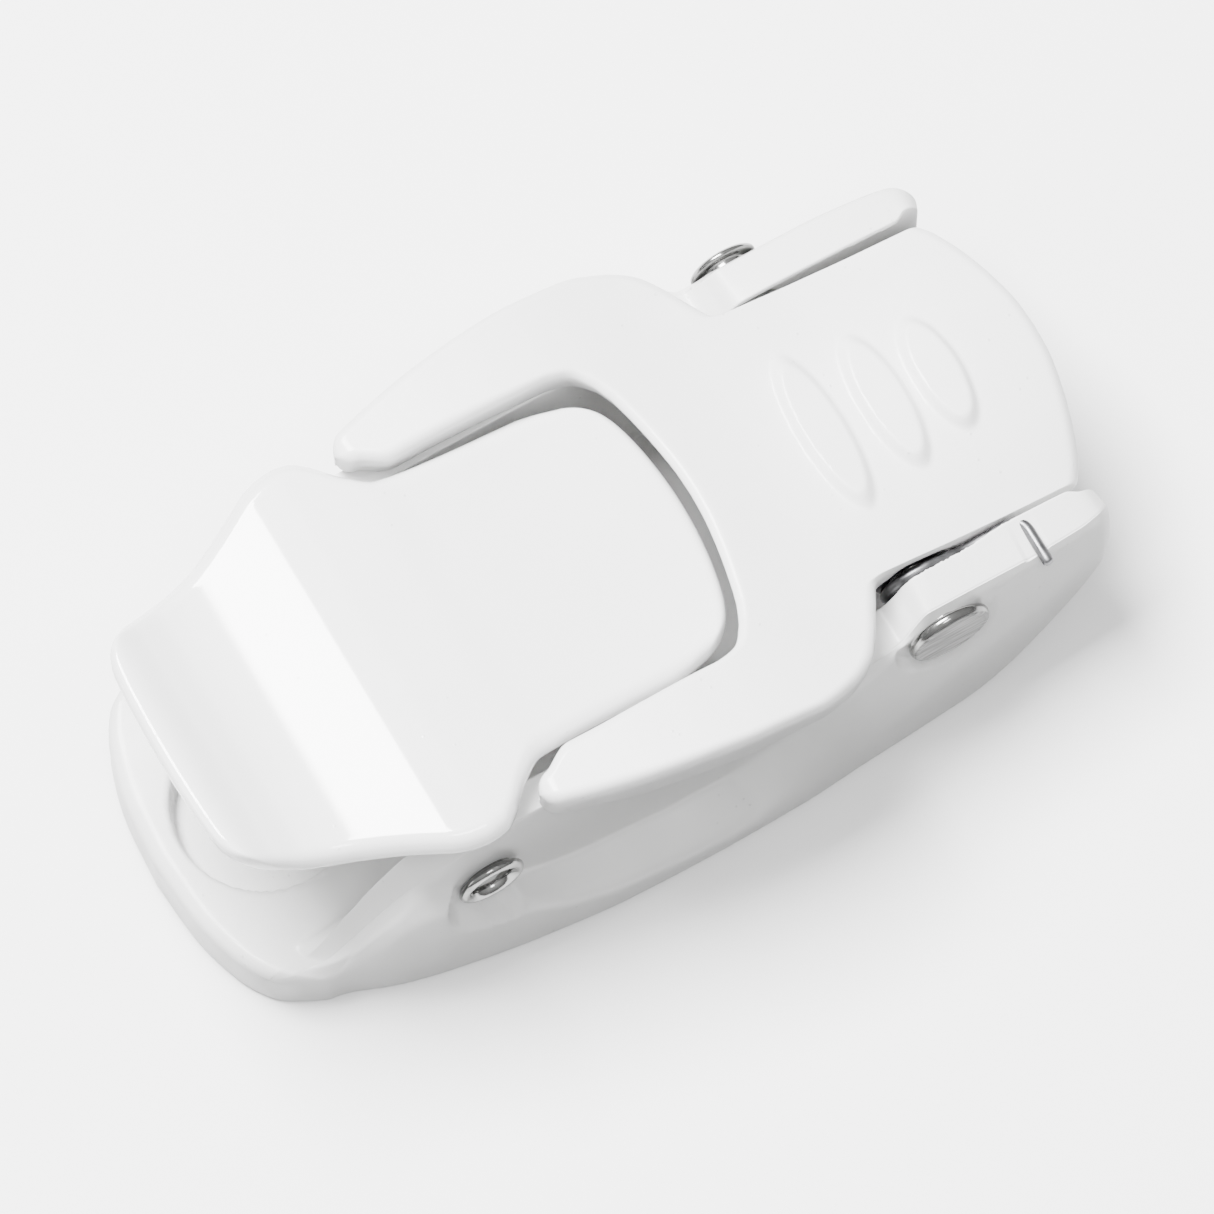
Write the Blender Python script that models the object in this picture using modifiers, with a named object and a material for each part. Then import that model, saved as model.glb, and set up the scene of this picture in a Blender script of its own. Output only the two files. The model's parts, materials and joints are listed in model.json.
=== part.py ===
"""Stair gate latch: a cast base, a forked lever and a thumb lever on two riveted hinges.

X runs along the latch towards the finger end, Y across it and Z up from its flat underside.
"""

import math

import bmesh
import bpy
import numpy as np
from mathutils import Matrix, Vector

MM = 0.001

# Hinge axes, both parallel to Y: (x, z) in mm.
MAIN_AXIS = (27.7, 21.3)
THUMB_AXIS = (-24.2, 17.0)

# Rivets, sleeve and washers, in mm.
MAIN_SHANK_RADIUS = 2.38
MAIN_HEAD_RADIUS = 4.53
MAIN_HEAD_FACE = 23.45
MAIN_SEAT = 22.1
MAIN_BORE_RADIUS = 2.48
SLEEVE_INNER = 2.48
SLEEVE_OUTER = 2.8
SLEEVE_HALF_LENGTH = 16.9
LUG_BORE_RADIUS = 2.9
THUMB_SHANK_RADIUS = 2.7
THUMB_ROLL_RADIUS = 3.7
THUMB_HOLE_RADIUS = 2.25
THUMB_HOLE_DEPTH = 7.0
THUMB_SEAT = 20.75
THUMB_FACE = 21.85
THUMB_BORE_RADIUS = 2.8
WASHER_OUTER = 3.4
SHIM_OUTER = 3.9

# Base casting, in mm.
RECESS_X = -38.6
RECESS_RADIUS = 9.3
RECESS_FLOOR = 5.4
MAIN_SPOT_RADIUS = 6.0
THUMB_SPOT_RADIUS = 4.9
NOTCH_X = 39.2
NOTCH_WIDTH = 2.6
NOTCH_FLOOR = 24.25
SPRING_PEG_X = 0.6
SPRING_PEG_Y = 11.2

# Fork lever, in mm.
PAD_CENTRES_X = (26.3, 33.4, 39.6)
PAD_HALF_LENGTHS = (9.5, 8.2, 6.9)
PAD_HALF_WIDTH = 2.55
PAD_HEIGHT = 0.9
COIL_RELIEF_RADIUS = 4.6
FORK_LUG_RADIUS = 3.9
FORK_LUG_WIDTH = 2.8
LUG_WEB_TOP = 25.2
NEAR_LUG_Y = -9.8
FAR_LUG_Y = 14.3

# Thumb lever, in mm.
THUMB_LUG_RADIUS = 4.6
THUMB_LUG_WIDTH = 3.0
THUMB_LUG_Y = 14.3

# Springs, in mm.
MAIN_WIRE = 1.2
MAIN_COIL_RADIUS = 3.6
MAIN_PITCH = 1.35
MAIN_TURNS = 3.5
LEG_Y = -16.65
TAIL_BEND = (31.0, 17.7)
TAIL_END = (40.5, 20.5)
THUMB_WIRE = 0.8
THUMB_COIL_RADIUS = 2.6
THUMB_COIL_TURNS = 8
THUMB_COIL_START = 11.5
THUMB_COIL_PITCH = 1.1
THUMB_SPRING_BOTTOM = 6.7
THUMB_SPRING_TOP = 27.0


# ---------------------------------------------------------------- curves

def through(x, knots):
    """Heights at x of the smooth curve through (x, value) knots, with no overshoot."""
    table = np.array(knots, float)
    place = table[:, 0]
    value = table[:, 1]
    step = np.diff(place)
    slope = np.diff(value) / step
    turns = slope[:-1] * slope[1:] > 0
    total = np.where(turns, slope[:-1] + slope[1:], 1.0)
    inner = np.where(turns, 2 * slope[:-1] * slope[1:] / total, 0.0)
    tangent = np.concatenate([slope[:1], inner, slope[-1:]])
    x = np.asarray(x, float)
    index = np.clip(np.searchsorted(place, x) - 1, 0, len(step) - 1)
    t = np.clip((x - place[index]) / step[index], 0.0, 1.0)
    rise = step[index]
    return (
        (1 + 2 * t) * (1 - t) ** 2 * value[index]
        + t * (1 - t) ** 2 * rise * tangent[index]
        + t * t * (3 - 2 * t) * value[index + 1]
        + t * t * (t - 1) * rise * tangent[index + 1]
    )


def rounded_path(corners, cuts, steps):
    """An open path of corners: one with a cut becomes a short curve of steps + 1 points."""
    corners = np.array(corners, float)
    found = [corners[:1]]
    for i in range(1, len(corners) - 1):
        if not cuts[i]:
            found.append(corners[i:i + 1])
            continue
        back = corners[i - 1] - corners[i]
        ahead = corners[i + 1] - corners[i]
        reach_back = np.linalg.norm(back)
        reach_ahead = np.linalg.norm(ahead)
        start = corners[i] + back * min(cuts[i] / max(reach_back, 1e-9), 0.45)
        end = corners[i] + ahead * min(cuts[i] / max(reach_ahead, 1e-9), 0.45)
        t = np.linspace(0, 1, steps + 1)[:, None]
        found.append((1 - t) ** 2 * start + 2 * t * (1 - t) * corners[i] + t * t * end)
    found.append(corners[-1:])
    return np.concatenate(found)


def inset(loop, distance):
    """A closed planar loop of (y, z) points moved inwards by a distance."""
    ahead = np.roll(loop, -1, axis=0) - np.roll(loop, 1, axis=0)
    normal = np.stack([-ahead[:, 1], ahead[:, 0]], axis=1)
    length = np.linalg.norm(normal, axis=1, keepdims=True)
    area = np.sum(loop[:, 0] * np.roll(loop[:, 1], -1) - np.roll(loop[:, 0], -1) * loop[:, 1])
    return loop + np.sign(area) * distance * normal / np.maximum(length, 1e-9)


# ---------------------------------------------------------------- scene helpers

def clear_scene():
    for obj in list(bpy.data.objects):
        bpy.data.objects.remove(obj, do_unlink=True)


def new_collection(name):
    made = bpy.data.collections.new(name)
    bpy.context.scene.collection.children.link(made)
    return made


def new_material(name, colour, roughness, metallic):
    made = bpy.data.materials.new(name)
    made.use_nodes = True
    shader = made.node_tree.nodes["Principled BSDF"]
    shader.inputs["Base Color"].default_value = (*colour, 1.0)
    shader.inputs["Roughness"].default_value = roughness
    shader.inputs["Metallic"].default_value = metallic
    made.diffuse_color = (*colour, 1.0)
    return made


def place(obj, origin):
    """Puts the object's origin at a point given in mm, leaving its shape where it is."""
    offset = Vector(origin) * MM
    obj.data.transform(Matrix.Translation(-offset))
    obj.location = offset


def mesh_object(name, mesh, material, collection):
    obj = bpy.data.objects.new(name, mesh)
    if material:
        mesh.materials.append(material)
    collection.objects.link(obj)
    return obj


def loft_object(name, sections, material, collection):
    """A solid through closed sections whose first half runs along one side and last half back."""
    mesh = bpy.data.meshes.new(name)
    made = bmesh.new()
    rings = [[made.verts.new(Vector(p) * MM) for p in ring] for ring in sections]
    count = len(rings[0])
    for low, high in zip(rings, rings[1:]):
        for i in range(count):
            j = (i + 1) % count
            made.faces.new((low[i], low[j], high[j], high[i]))
    for ring in (rings[0], rings[-1]):
        for i in range(count // 2 - 1):
            made.faces.new((ring[i], ring[i + 1], ring[-i - 2], ring[-i - 1]))
    bmesh.ops.recalc_face_normals(made, faces=made.faces)
    for face in made.faces:
        face.smooth = True
    made.to_mesh(mesh)
    made.free()
    return mesh_object(name, mesh, material, collection)


def turned_object(name, profile, origin, material, collection, steps=28):
    """A solid turned about the Y axis through origin: profile is (radius, y) in mm, from +Y down."""
    mesh = bpy.data.meshes.new(name)
    points = [(radius * MM, 0, height * MM) for radius, height in profile]
    edges = [(i, i + 1) for i in range(len(points) - 1)]
    if profile[0][0] > 0:
        edges.append((len(points) - 1, 0))
    mesh.from_pydata(points, edges, [])
    obj = mesh_object(name, mesh, material, collection)
    screw = obj.modifiers.new("Turn", "SCREW")
    screw.steps = steps
    screw.render_steps = steps
    screw.use_merge_vertices = True
    screw.merge_threshold = 0.00001
    screw.use_smooth_shade = True
    obj.rotation_euler = (-math.pi / 2, 0, 0)
    obj.location = Vector(origin) * MM
    return obj


def box_object(name, low, high, collection):
    """A box between two corners given in mm."""
    mesh = bpy.data.meshes.new(name)
    made = bmesh.new()
    bmesh.ops.create_cube(made, size=1.0)
    size = Vector(high) - Vector(low)
    middle = (Vector(high) + Vector(low)) / 2
    bmesh.ops.scale(made, vec=size * MM, verts=made.verts)
    bmesh.ops.translate(made, vec=middle * MM, verts=made.verts)
    made.to_mesh(mesh)
    made.free()
    return mesh_object(name, mesh, None, collection)


def cylinder_object(name, radius, start, end, collection, segments=32):
    """A cylinder between two points given in mm."""
    mesh = bpy.data.meshes.new(name)
    made = bmesh.new()
    along = Vector(end) - Vector(start)
    turn = along.to_track_quat("Z", "Y").to_matrix().to_4x4()
    middle = Matrix.Translation((Vector(start) + Vector(end)) / 2 * MM)
    bmesh.ops.create_cone(
        made,
        cap_ends=True,
        segments=segments,
        radius1=radius * MM,
        radius2=radius * MM,
        depth=along.length * MM,
        matrix=middle @ turn,
    )
    made.to_mesh(mesh)
    made.free()
    return mesh_object(name, mesh, None, collection)


def ellipsoid_object(name, centre, radii, collection):
    """A ball stretched to three radii, all in mm."""
    mesh = bpy.data.meshes.new(name)
    made = bmesh.new()
    bmesh.ops.create_uvsphere(made, u_segments=20, v_segments=10, radius=1.0)
    bmesh.ops.scale(made, vec=Vector(radii) * MM, verts=made.verts)
    bmesh.ops.translate(made, vec=Vector(centre) * MM, verts=made.verts)
    made.to_mesh(mesh)
    made.free()
    return mesh_object(name, mesh, None, collection)


def wire_object(name, points, radius, origin, material, collection):
    """A round wire along points given in mm."""
    curve = bpy.data.curves.new(name, "CURVE")
    curve.dimensions = "3D"
    curve.bevel_depth = radius * MM
    curve.bevel_resolution = 2
    curve.use_fill_caps = True
    spline = curve.splines.new("POLY")
    spline.points.add(len(points) - 1)
    start = Vector(origin)
    for point, position in zip(spline.points, points):
        point.co = (*((Vector(position) - start) * MM), 1.0)
    spline.use_smooth = True
    obj = bpy.data.objects.new(name, curve)
    curve.materials.append(material)
    obj.location = start * MM
    collection.objects.link(obj)
    return obj


def combine(obj, other, operation):
    """Cuts or joins obj with a helper, which is hidden."""
    other.hide_render = True
    other.display_type = "WIRE"
    made = obj.modifiers.new(other.name, "BOOLEAN")
    made.operation = operation
    made.solver = "EXACT"
    made.object = other


# ---------------------------------------------------------------- base casting

def side_width(x):
    return through(x, (
        (-51, 19.0), (-43, 19.5), (-36, 21.4), (-30, 22.8), (-20, 24.4), (-10, 25.3), (0, 25.5),
        (10, 25.3), (16.6, 24.8), (25.4, 24.2), (35, 23.4), (42, 22.7), (48.2, 21.9),
    ))


def keel_height(x):
    return through(x, (
        (-51, 0.0), (30, 0.0), (32, 0.5), (35, 2.1), (38.5, 5.2), (42, 8.8), (45, 12.6),
        (46.6, 15.8), (48.2, 19.3),
    ))


def fold_height(x):
    return through(x, (
        (-51, 6.3), (-43, 6.3), (-40, 8.4), (-37, 12.6), (-34, 17.0), (-31, 18.7), (-28, 17.3),
        (-24.2, 13.7), (-16.4, 7.3), (-11, 5.5), (-4, 4.0), (3, 3.2), (8, 3.4), (14, 4.8),
        (20, 7.6), (26, 10.8), (32, 12.8), (38, 14.4), (44, 16.8), (48.2, 20.6),
    ))


def foot_width(x):
    return through(x, (
        (-51, 18.0), (-43, 18.5), (-40, 19.5), (-37, 20.2), (-34, 20.8), (-28, 20.7), (-24, 20.6),
        (-19.8, 20.3), (-3, 20.3), (2.6, 20.6), (7.3, 21.6), (12, 22.8), (16.6, 23.4), (20, 22.9),
        (24, 22.0), (28, 21.6), (36, 21.6), (44, 21.2), (48.2, 20.6),
    ))


def foot_height(x):
    return through(x, (
        (-51, 7.4), (-43, 7.4), (-40, 10.2), (-37, 15.0), (-34, 19.0), (-31, 21.0), (-28, 19.6),
        (-24, 15.4), (-19.8, 11.0), (-14, 8.0), (-8.6, 6.8), (-3, 5.9), (2.6, 6.8), (7.3, 12.0),
        (12, 17.2), (16.6, 20.8), (20, 21.5), (24, 22.1), (26, 23.2), (28, 23.6), (36, 23.4),
        (44, 22.8), (48.2, 22.0),
    ))


def top_width(x):
    return through(x, (
        (-51, 17.3), (-43, 17.4), (-40, 18.0), (-36, 18.6), (-31, 19.3), (-27, 20.1), (-20, 20.3),
        (2.6, 20.3), (7.3, 21.0), (12, 22.0), (16.6, 22.5), (20, 22.1), (23, 21.5), (26, 21.0),
        (36, 21.0), (44, 20.6), (48.2, 19.5),
    ))


def top_height(x):
    return through(x, (
        (-51, 8.1), (-43, 8.1), (-42.2, 8.7), (-38, 15.0), (-34.4, 20.5), (-31, 24.4),
        (-26, 27.6), (-22, 28.3), (3, 28.2), (8, 26.6), (12, 25.3), (16.6, 24.0), (20, 23.0),
        (22.6, 22.2), (24.4, 23.6), (26.4, 25.8), (28, 26.0), (36, 25.7), (44, 25.0),
        (46.6, 24.3), (48.2, 23.0),
    ))


def bevel_drop(x):
    return through(x, (
        (-51, 0.2), (-43, 0.2), (-41, 1.6), (-34, 2.2), (-28, 1.6), (-24, 0.2), (24, 0.2),
        (28, 1.0), (44, 1.0), (48.2, 0.6),
    ))


def wall_inside(x):
    return through(x, ((-51, 16.2), (-36, 16.6), (-26, 17.0), (-10, 17.2), (8, 17.3), (48.2, 17.4)))


def corner_inside(x):
    return through(x, ((-51, 14.6), (-35, 14.8), (-30, 16.3), (48.2, 16.9)))


def floor_height(x):
    return through(x, (
        (-51, 8.1), (-28, 8.1), (-26.6, 7.2), (-24.6, 3.6), (-23.4, 3.0), (30, 3.0), (34, 4.6),
        (38.5, 8.2), (42, 11.6), (44, 13.6), (45.6, 15.4), (48.2, 17.0),
    ))


def end_line(y):
    """X of the rounded end of the tongue at a distance y from the middle."""
    return through(np.abs(y), ((0, -51.2), (6.5, -50.7), (12.5, -49.2), (16.5, -46.9), (19.3, -42.8)))


def nose_line(y):
    """X of the finger end: a lip between the ears, which run a little further."""
    return through(np.abs(y), ((0, 45.6), (15.5, 45.6), (17.4, 47.6), (19, 48.2), (21.5, 47.4)))


def bend(nominal, y):
    """X at y of the station that is straight at nominal X, bowing towards each end's own line."""
    start = np.clip((-34.0 - nominal) / 17.0, 0.0, 1.0)
    finish = np.clip((nominal - 38.0) / 10.2, 0.0, 1.0)
    straight = np.clip(nominal, -34.0, 38.0)
    return (
        straight
        + start * (end_line(y) + 34.0)
        + finish * (nose_line(y) - 38.0)
    )


def hull_section(nominal, steps=2, trim=0.0):
    """The casting's closed section at one station, trimmed inwards at its ends."""
    guess = bend(nominal, 18.0)
    widths = [top_width(guess), foot_width(guess), side_width(guess), side_width(guess)]
    inner = [wall_inside(guess), 0.0, 0.0, corner_inside(guess)]
    inner[1] = inner[0] * 0.67 + inner[3] * 0.33
    inner[2] = inner[0] * 0.33 + inner[3] * 0.67
    xs = [float(bend(nominal, width)) for width in widths]
    heights = [
        top_height(xs[0]) - bevel_drop(xs[0]),
        foot_height(xs[1]),
        fold_height(xs[2]),
        keel_height(xs[3]),
    ]
    ix = [float(bend(nominal, width)) for width in inner]
    top = top_height(ix[0])
    floor = floor_height(ix[3])
    inner_heights = [top, top * 0.67 + floor * 0.33, top * 0.33 + floor * 0.67, floor]
    outer_half = list(zip(widths, heights))
    inner_half = list(zip(inner, inner_heights))
    across = np.array([-0.86, -0.6, -0.3, 0.0, 0.3, 0.6, 0.86])
    under = [(widths[3] * part, keel_height(bend(nominal, widths[3] * part))) for part in across]
    over = [(inner[3] * part, floor_height(bend(nominal, inner[3] * part))) for part in across]
    outer = [(-w, h) for w, h in outer_half] + under + outer_half[::-1]
    inside = [(-w, h) for w, h in inner_half] + over + inner_half[::-1]
    outer_cuts = [0.0, 0.8, 1.6, 0.9] + [0.0] * 7 + [0.9, 1.6, 0.8, 0.0]
    inner_cuts = [0.0, 0.5, 0.5, 2.0] + [0.0] * 7 + [2.0, 0.5, 0.5, 0.0]
    loop = np.concatenate([
        rounded_path(outer, outer_cuts, steps),
        rounded_path(inside, inner_cuts, steps)[::-1],
    ])
    if trim:
        loop = inset(loop, trim)
    along = bend(nominal, loop[:, 0])
    return np.stack([along, loop[:, 0], loop[:, 1]], axis=1)


def hull_sections():
    nominal = [
        -51.0, -50.4, -48, -45, -42.6, -41, -39, -37, -35, -33, -31, -29, -27.5, -26, -24.5, -23,
        -20, -16.5, -13, -9, -5, -1, 2.5, 5, 7.5, 10, 12.5, 15, 17.5, 20, 22.4, 23.6, 25, 26.4,
        28.5, 31, 34, 37, 39.5, 42, 44, 46, 47.6, 48.2,
    ]
    trims = {-51.0: 0.7, -50.4: 0.15, 47.6: 0.2, 48.2: 0.8}
    return [hull_section(x, trim=trims.get(x, 0.0)) for x in nominal]


def make_base(parts, cutters, paint):
    base = loft_object("base_casting", hull_sections(), paint, parts)
    main_x, main_z = MAIN_AXIS
    thumb_x, thumb_z = THUMB_AXIS
    for side, name in ((-1, "near"), (1, "far")):
        peg = cylinder_object(
            f"spring_peg_{name}", 1.7, (SPRING_PEG_X, side * SPRING_PEG_Y, 2.0),
            (SPRING_PEG_X, side * SPRING_PEG_Y, 6.5), cutters, 20,
        )
        combine(base, peg, "UNION")
    recess = cylinder_object(
        "finger_recess", RECESS_RADIUS, (RECESS_X, 0, RECESS_FLOOR), (RECESS_X, 0, 20.0),
        cutters, 56,
    )
    combine(base, recess, "DIFFERENCE")
    bores = (
        ("main_bore", MAIN_BORE_RADIUS, main_x, main_z),
        ("thumb_bore", THUMB_BORE_RADIUS, thumb_x, thumb_z),
    )
    for name, radius, x, z in bores:
        bore = cylinder_object(name, radius, (x, -30, z), (x, 30, z), cutters)
        combine(base, bore, "DIFFERENCE")
    spots = (
        ("main_spot", MAIN_SPOT_RADIUS, MAIN_SEAT - 0.1, main_x, main_z),
        ("thumb_spot", THUMB_SPOT_RADIUS, THUMB_SEAT - 0.1, thumb_x, thumb_z),
    )
    for name, radius, seat, x, z in spots:
        for side, end in ((-1, "near"), (1, "far")):
            spot = cylinder_object(
                f"{name}_{end}", radius, (x, side * seat, z), (x, side * 32, z), cutters,
            )
            combine(base, spot, "DIFFERENCE")
    notch = box_object(
        "leg_notch", (NOTCH_X - NOTCH_WIDTH / 2, -25, NOTCH_FLOOR),
        (NOTCH_X + NOTCH_WIDTH / 2, -16, 30), cutters,
    )
    combine(base, notch, "DIFFERENCE")
    return base


# ---------------------------------------------------------------- fork lever

FORK_STATIONS = (
    # inner x, inner y, outer x, outer y, in mm, from the middle round to a prong's tip
    (11.0, 0.0, 51.0, 0.0),
    (10.9, 2.4, 50.85, 3.0),
    (10.6, 5.0, 50.3, 6.2),
    (10.2, 7.4, 49.5, 9.4),
    (9.8, 9.3, 48.4, 12.6),
    (9.45, 10.8, 47.3, 14.9),
    (9.2, 11.7, 46.2, 15.9),
    (9.0, 12.4, 42.0, 15.9),
    (8.7, 13.1, 36.0, 15.9),
    (8.4, 13.8, 30.0, 15.9),
    (8.1, 14.4, 25.2, 15.9),
    (7.7, 15.0, 23.2, 16.2),
    (7.2, 15.7, 21.6, 18.4),
    (6.4, 16.4, 19.9, 21.3),
    (5.2, 16.8, 18.2, 23.4),
    (3.6, 17.0, 15.0, 25.1),
    (1.4, 17.0, 10.6, 26.0),
    (-1.8, 17.05, 5.0, 25.95),
    (-5.4, 17.1, -1.4, 25.4),
    (-9.4, 17.15, -7.6, 24.5),
    (-13.0, 17.1, -12.8, 23.4),
    (-16.3, 18.7, -16.5, 22.4),
)


def fork_top(x, y):
    """Height of the fork lever's top face: level prongs, a drop, then a dished finger end."""
    middle = through(x, (
        (-20, 34.0), (-8, 34.0), (-2, 33.8), (4, 33.1), (8, 32.2), (12, 31.0), (16, 29.7),
        (20, 28.6), (24, 27.9), (30, 27.3), (36, 27.0), (42, 26.6), (48, 25.9), (52, 25.3),
    ))
    crown = through(x, ((-20, 0.0), (20, 0.0), (26, 0.5), (32, 1.6), (40, 2.8), (52, 3.4)))
    return middle - crown * (np.asarray(y) / 16.0) ** 2


def fork_section(start, end, depth, skirt, trim, tops=7, steps=2):
    """One closed section of the fork lever, from its throat side to its outer side."""
    start = np.array(start, float)
    end = np.array(end, float)
    length = np.linalg.norm(end - start)
    ahead = (end - start) / length
    radius = 1.1
    turn = np.linspace(0, math.pi / 2, steps + 1)
    near = np.stack([radius * (1 - np.sin(turn)), radius * (1 - np.cos(turn))], axis=1)[::-1]
    plain = np.linspace(radius, length - radius, tops)[1:-1]
    across = np.concatenate([near[:, 0], plain, (length - near[:, 0])[::-1]])
    below = np.concatenate([near[:, 1], plain * 0, near[:, 1][::-1]])
    inner = min(2.4, 0.26 * length)
    outer = min(3.6, 0.40 * length)
    spread = np.linspace(outer, length - outer, tops + 2 * steps - 3)[1:-1]
    under = np.concatenate([[0.0, inner, outer], spread, [length - outer, length - inner, length]])
    floor = np.where(under > inner + 0.01, depth, min(skirt, 4.8))
    floor = np.where(under < length - inner - 0.01, floor, skirt)
    count = min(len(across), len(under))
    across, below = across[:count], below[:count]
    under, floor = under[:count], floor[:count]
    squeeze = (length - 2 * trim) / length
    points = []
    for distance, drop in zip(across, below):
        flat = start + ahead * (trim + distance * squeeze)
        points.append((*flat, fork_top(flat[0], flat[1]) - drop - trim))
    for distance, drop in zip(under[::-1], floor[::-1]):
        flat = start + ahead * (trim + distance * squeeze)
        points.append((*flat, fork_top(flat[0], flat[1]) - drop + trim))
    return points


def fork_sections():
    half = []
    for ix, iy, ox, oy in FORK_STATIONS:
        skirt = float(through(ox, (
            (-17, 5.4), (-13, 5.6), (-8, 6.4), (3, 6.4), (10, 5.2), (19, 4.6), (26, 3.2), (52, 3.0),
        )))
        depth = float(through(ox, ((-17, 4.6), (-10, 4.2), (0, 2.8), (20, 2.4), (52, 2.2))))
        half.append(((ix, iy), (ox, oy), depth, skirt, 0.0))
    (ix, iy), (ox, oy), depth, skirt, _ = half[-1]
    for angle in (30, 60, 85):
        ahead = 1.7 * math.sin(math.radians(angle))
        trim = 1.7 * (1 - math.cos(math.radians(angle)))
        inner_end = (ix - ahead, iy + 0.1 * ahead)
        outer_end = (ox - ahead, oy - 0.3 * ahead)
        half.append((inner_end, outer_end, depth, skirt, trim))
    full = [
        ((a[0], -a[1]), (b[0], -b[1]), depth, skirt, trim)
        for a, b, depth, skirt, trim in half[:0:-1]
    ] + half
    return [fork_section(*station) for station in full]


def lug(name, y, width, radius, axis, top, collection):
    """A hinge lug: a round boss on the axis, and its web up to the plate, as one helper."""
    x, z = axis
    low, high = y - width / 2, y + width / 2
    boss = cylinder_object(name, radius, (x, low, z), (x, high, z), collection)
    web = box_object(
        f"{name}_web", (x - radius, low, z), (x + radius, high, top), collection,
    )
    return boss, web


def make_fork(parts, cutters, paint):
    fork = loft_object("fork_lever", fork_sections(), paint, parts)
    main_x, main_z = MAIN_AXIS
    for index, (x, length) in enumerate(zip(PAD_CENTRES_X, PAD_HALF_LENGTHS)):
        height = float(fork_top(x, 0.4 * length))
        pad = ellipsoid_object(
            f"finger_pad_{index + 1}", (x, 0, height - 0.6),
            (PAD_HALF_WIDTH, length, PAD_HEIGHT + 0.6), cutters,
        )
        combine(fork, pad, "UNION")
    relief = cylinder_object(
        "coil_relief", COIL_RELIEF_RADIUS, (main_x, -20, main_z), (main_x, -11.4, main_z), cutters,
    )
    combine(fork, relief, "DIFFERENCE")
    for name, y in (("fork_lug_near", NEAR_LUG_Y), ("fork_lug_far", FAR_LUG_Y)):
        for helper in lug(name, y, FORK_LUG_WIDTH, FORK_LUG_RADIUS, MAIN_AXIS, LUG_WEB_TOP, cutters):
            combine(fork, helper, "UNION")
    bore = cylinder_object(
        "fork_bore", LUG_BORE_RADIUS, (main_x, -11.3, main_z), (main_x, 18, main_z), cutters,
    )
    combine(fork, bore, "DIFFERENCE")
    place(fork, (main_x, 0, main_z))
    return fork


# ---------------------------------------------------------------- thumb lever

def thumb_top(x):
    """Height of the thumb lever's S-curved top face."""
    return through(x, (
        (-49.4, 39.0), (-47.5, 38.4), (-44, 35.9), (-41, 34.2), (-38.6, 33.5), (-36.8, 33.6),
        (-34, 33.85), (-30, 34.2), (-27.2, 34.4), (-24.5, 34.5), (-22.4, 34.3), (-18, 33.6),
        (-14, 32.6), (-8, 31.5), (0, 30.3), (6.5, 29.5), (10.2, 29.0),
    ))


def thumb_width(x):
    return through(x, (
        (-49.4, 14.5), (-47, 14.8), (-45, 15.1), (-43, 15.5), (-41, 15.9), (-39, 16.4),
        (-37, 17.05), (-35, 17.9), (-33, 18.85), (-31.2, 19.8), (-29.6, 20.7), (-28, 21.55),
        (-26, 22.15), (-24.4, 22.3), (-22.6, 22.0), (-21, 20.9), (-18.4, 18.3), (-15.6, 16.6),
        (-10, 16.2), (0, 16.0), (5.0, 15.8), (10.2, 15.0),
    ))


def thumb_bend(nominal, y):
    """X at y of the station that is straight at nominal X, bowing at the tip and inner end."""
    part = np.abs(y) / thumb_width(nominal)
    start = np.clip((-38.0 - nominal) / 11.4, 0.0, 1.0) ** 2
    ratio = np.abs(y) / 14.0
    finish = np.clip(nominal / 10.2, 0.0, 1.0)
    return nominal + start * (0.9 * part ** 2 + 3.8 * part ** 10) - finish * (
        2.4 * ratio ** 2 + 1.4 * ratio ** 10
    )


def thumb_section(nominal, trim=0.0, tops=7, steps=2):
    """One closed section of the thumb lever's plate, across its width."""
    half = float(thumb_width(nominal)) - trim
    radius = 1.35
    turn = np.linspace(0, math.pi / 2, steps + 1)
    near = np.stack([radius * (1 - np.sin(turn)), radius * (1 - np.cos(turn))], axis=1)[::-1]
    plain = np.linspace(radius, 2 * half - radius, tops)[1:-1]
    across = np.concatenate([near[:, 0], plain, (2 * half - near[:, 0])[::-1]]) - half
    below = np.concatenate([near[:, 1], plain * 0, near[:, 1][::-1]])
    spread = np.linspace(3.4, 2 * half - 3.4, len(across) - 4)[1:-1]
    edges = [0.6, 2.4, 3.4]
    under = np.concatenate([edges, spread, [2 * half - e for e in edges[::-1]]]) - half
    depth = np.where(half - np.abs(under) > 2.5, 2.4, 3.3)
    points = [
        (float(thumb_bend(nominal, y)), y, float(thumb_top(thumb_bend(nominal, y))) - drop - trim)
        for y, drop in zip(across, below)
    ]
    points += [
        (float(thumb_bend(nominal, y)), y, float(thumb_top(thumb_bend(nominal, y))) - drop + trim)
        for y, drop in zip(under[::-1], depth[::-1])
    ]
    return points


def thumb_sections():
    stations = [(-49.4, 1.15), (-49.1, 0.55), (-48.4, 0.15), (-47.4, 0.0)]
    stations += [(x, 0.0) for x in (
        -46, -44.5, -43, -41, -39, -37, -35, -33, -31, -29, -27.2, -25.4, -23.6, -22, -20.4,
        -18.8, -17.2, -15.4, -13, -9.5, -6, -2, 2, 5, 7.4,
    )]
    stations += [(9.0, 0.1), (9.8, 0.5), (10.2, 1.1)]
    return [thumb_section(x, trim) for x, trim in stations]


def make_thumb(parts, cutters, paint):
    thumb = loft_object("thumb_lever", thumb_sections(), paint, parts)
    x, z = THUMB_AXIS
    for name, y in (("thumb_lug_near", -THUMB_LUG_Y), ("thumb_lug_far", THUMB_LUG_Y)):
        for helper in lug(name, y, THUMB_LUG_WIDTH, THUMB_LUG_RADIUS, THUMB_AXIS, 32.6, cutters):
            combine(thumb, helper, "UNION")
    bore = cylinder_object("thumb_lug_bore", THUMB_BORE_RADIUS, (x, -20, z), (x, 20, z), cutters)
    combine(thumb, bore, "DIFFERENCE")
    place(thumb, (x, 0, z))
    return thumb


# ---------------------------------------------------------------- rivets, sleeve and washers

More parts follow.
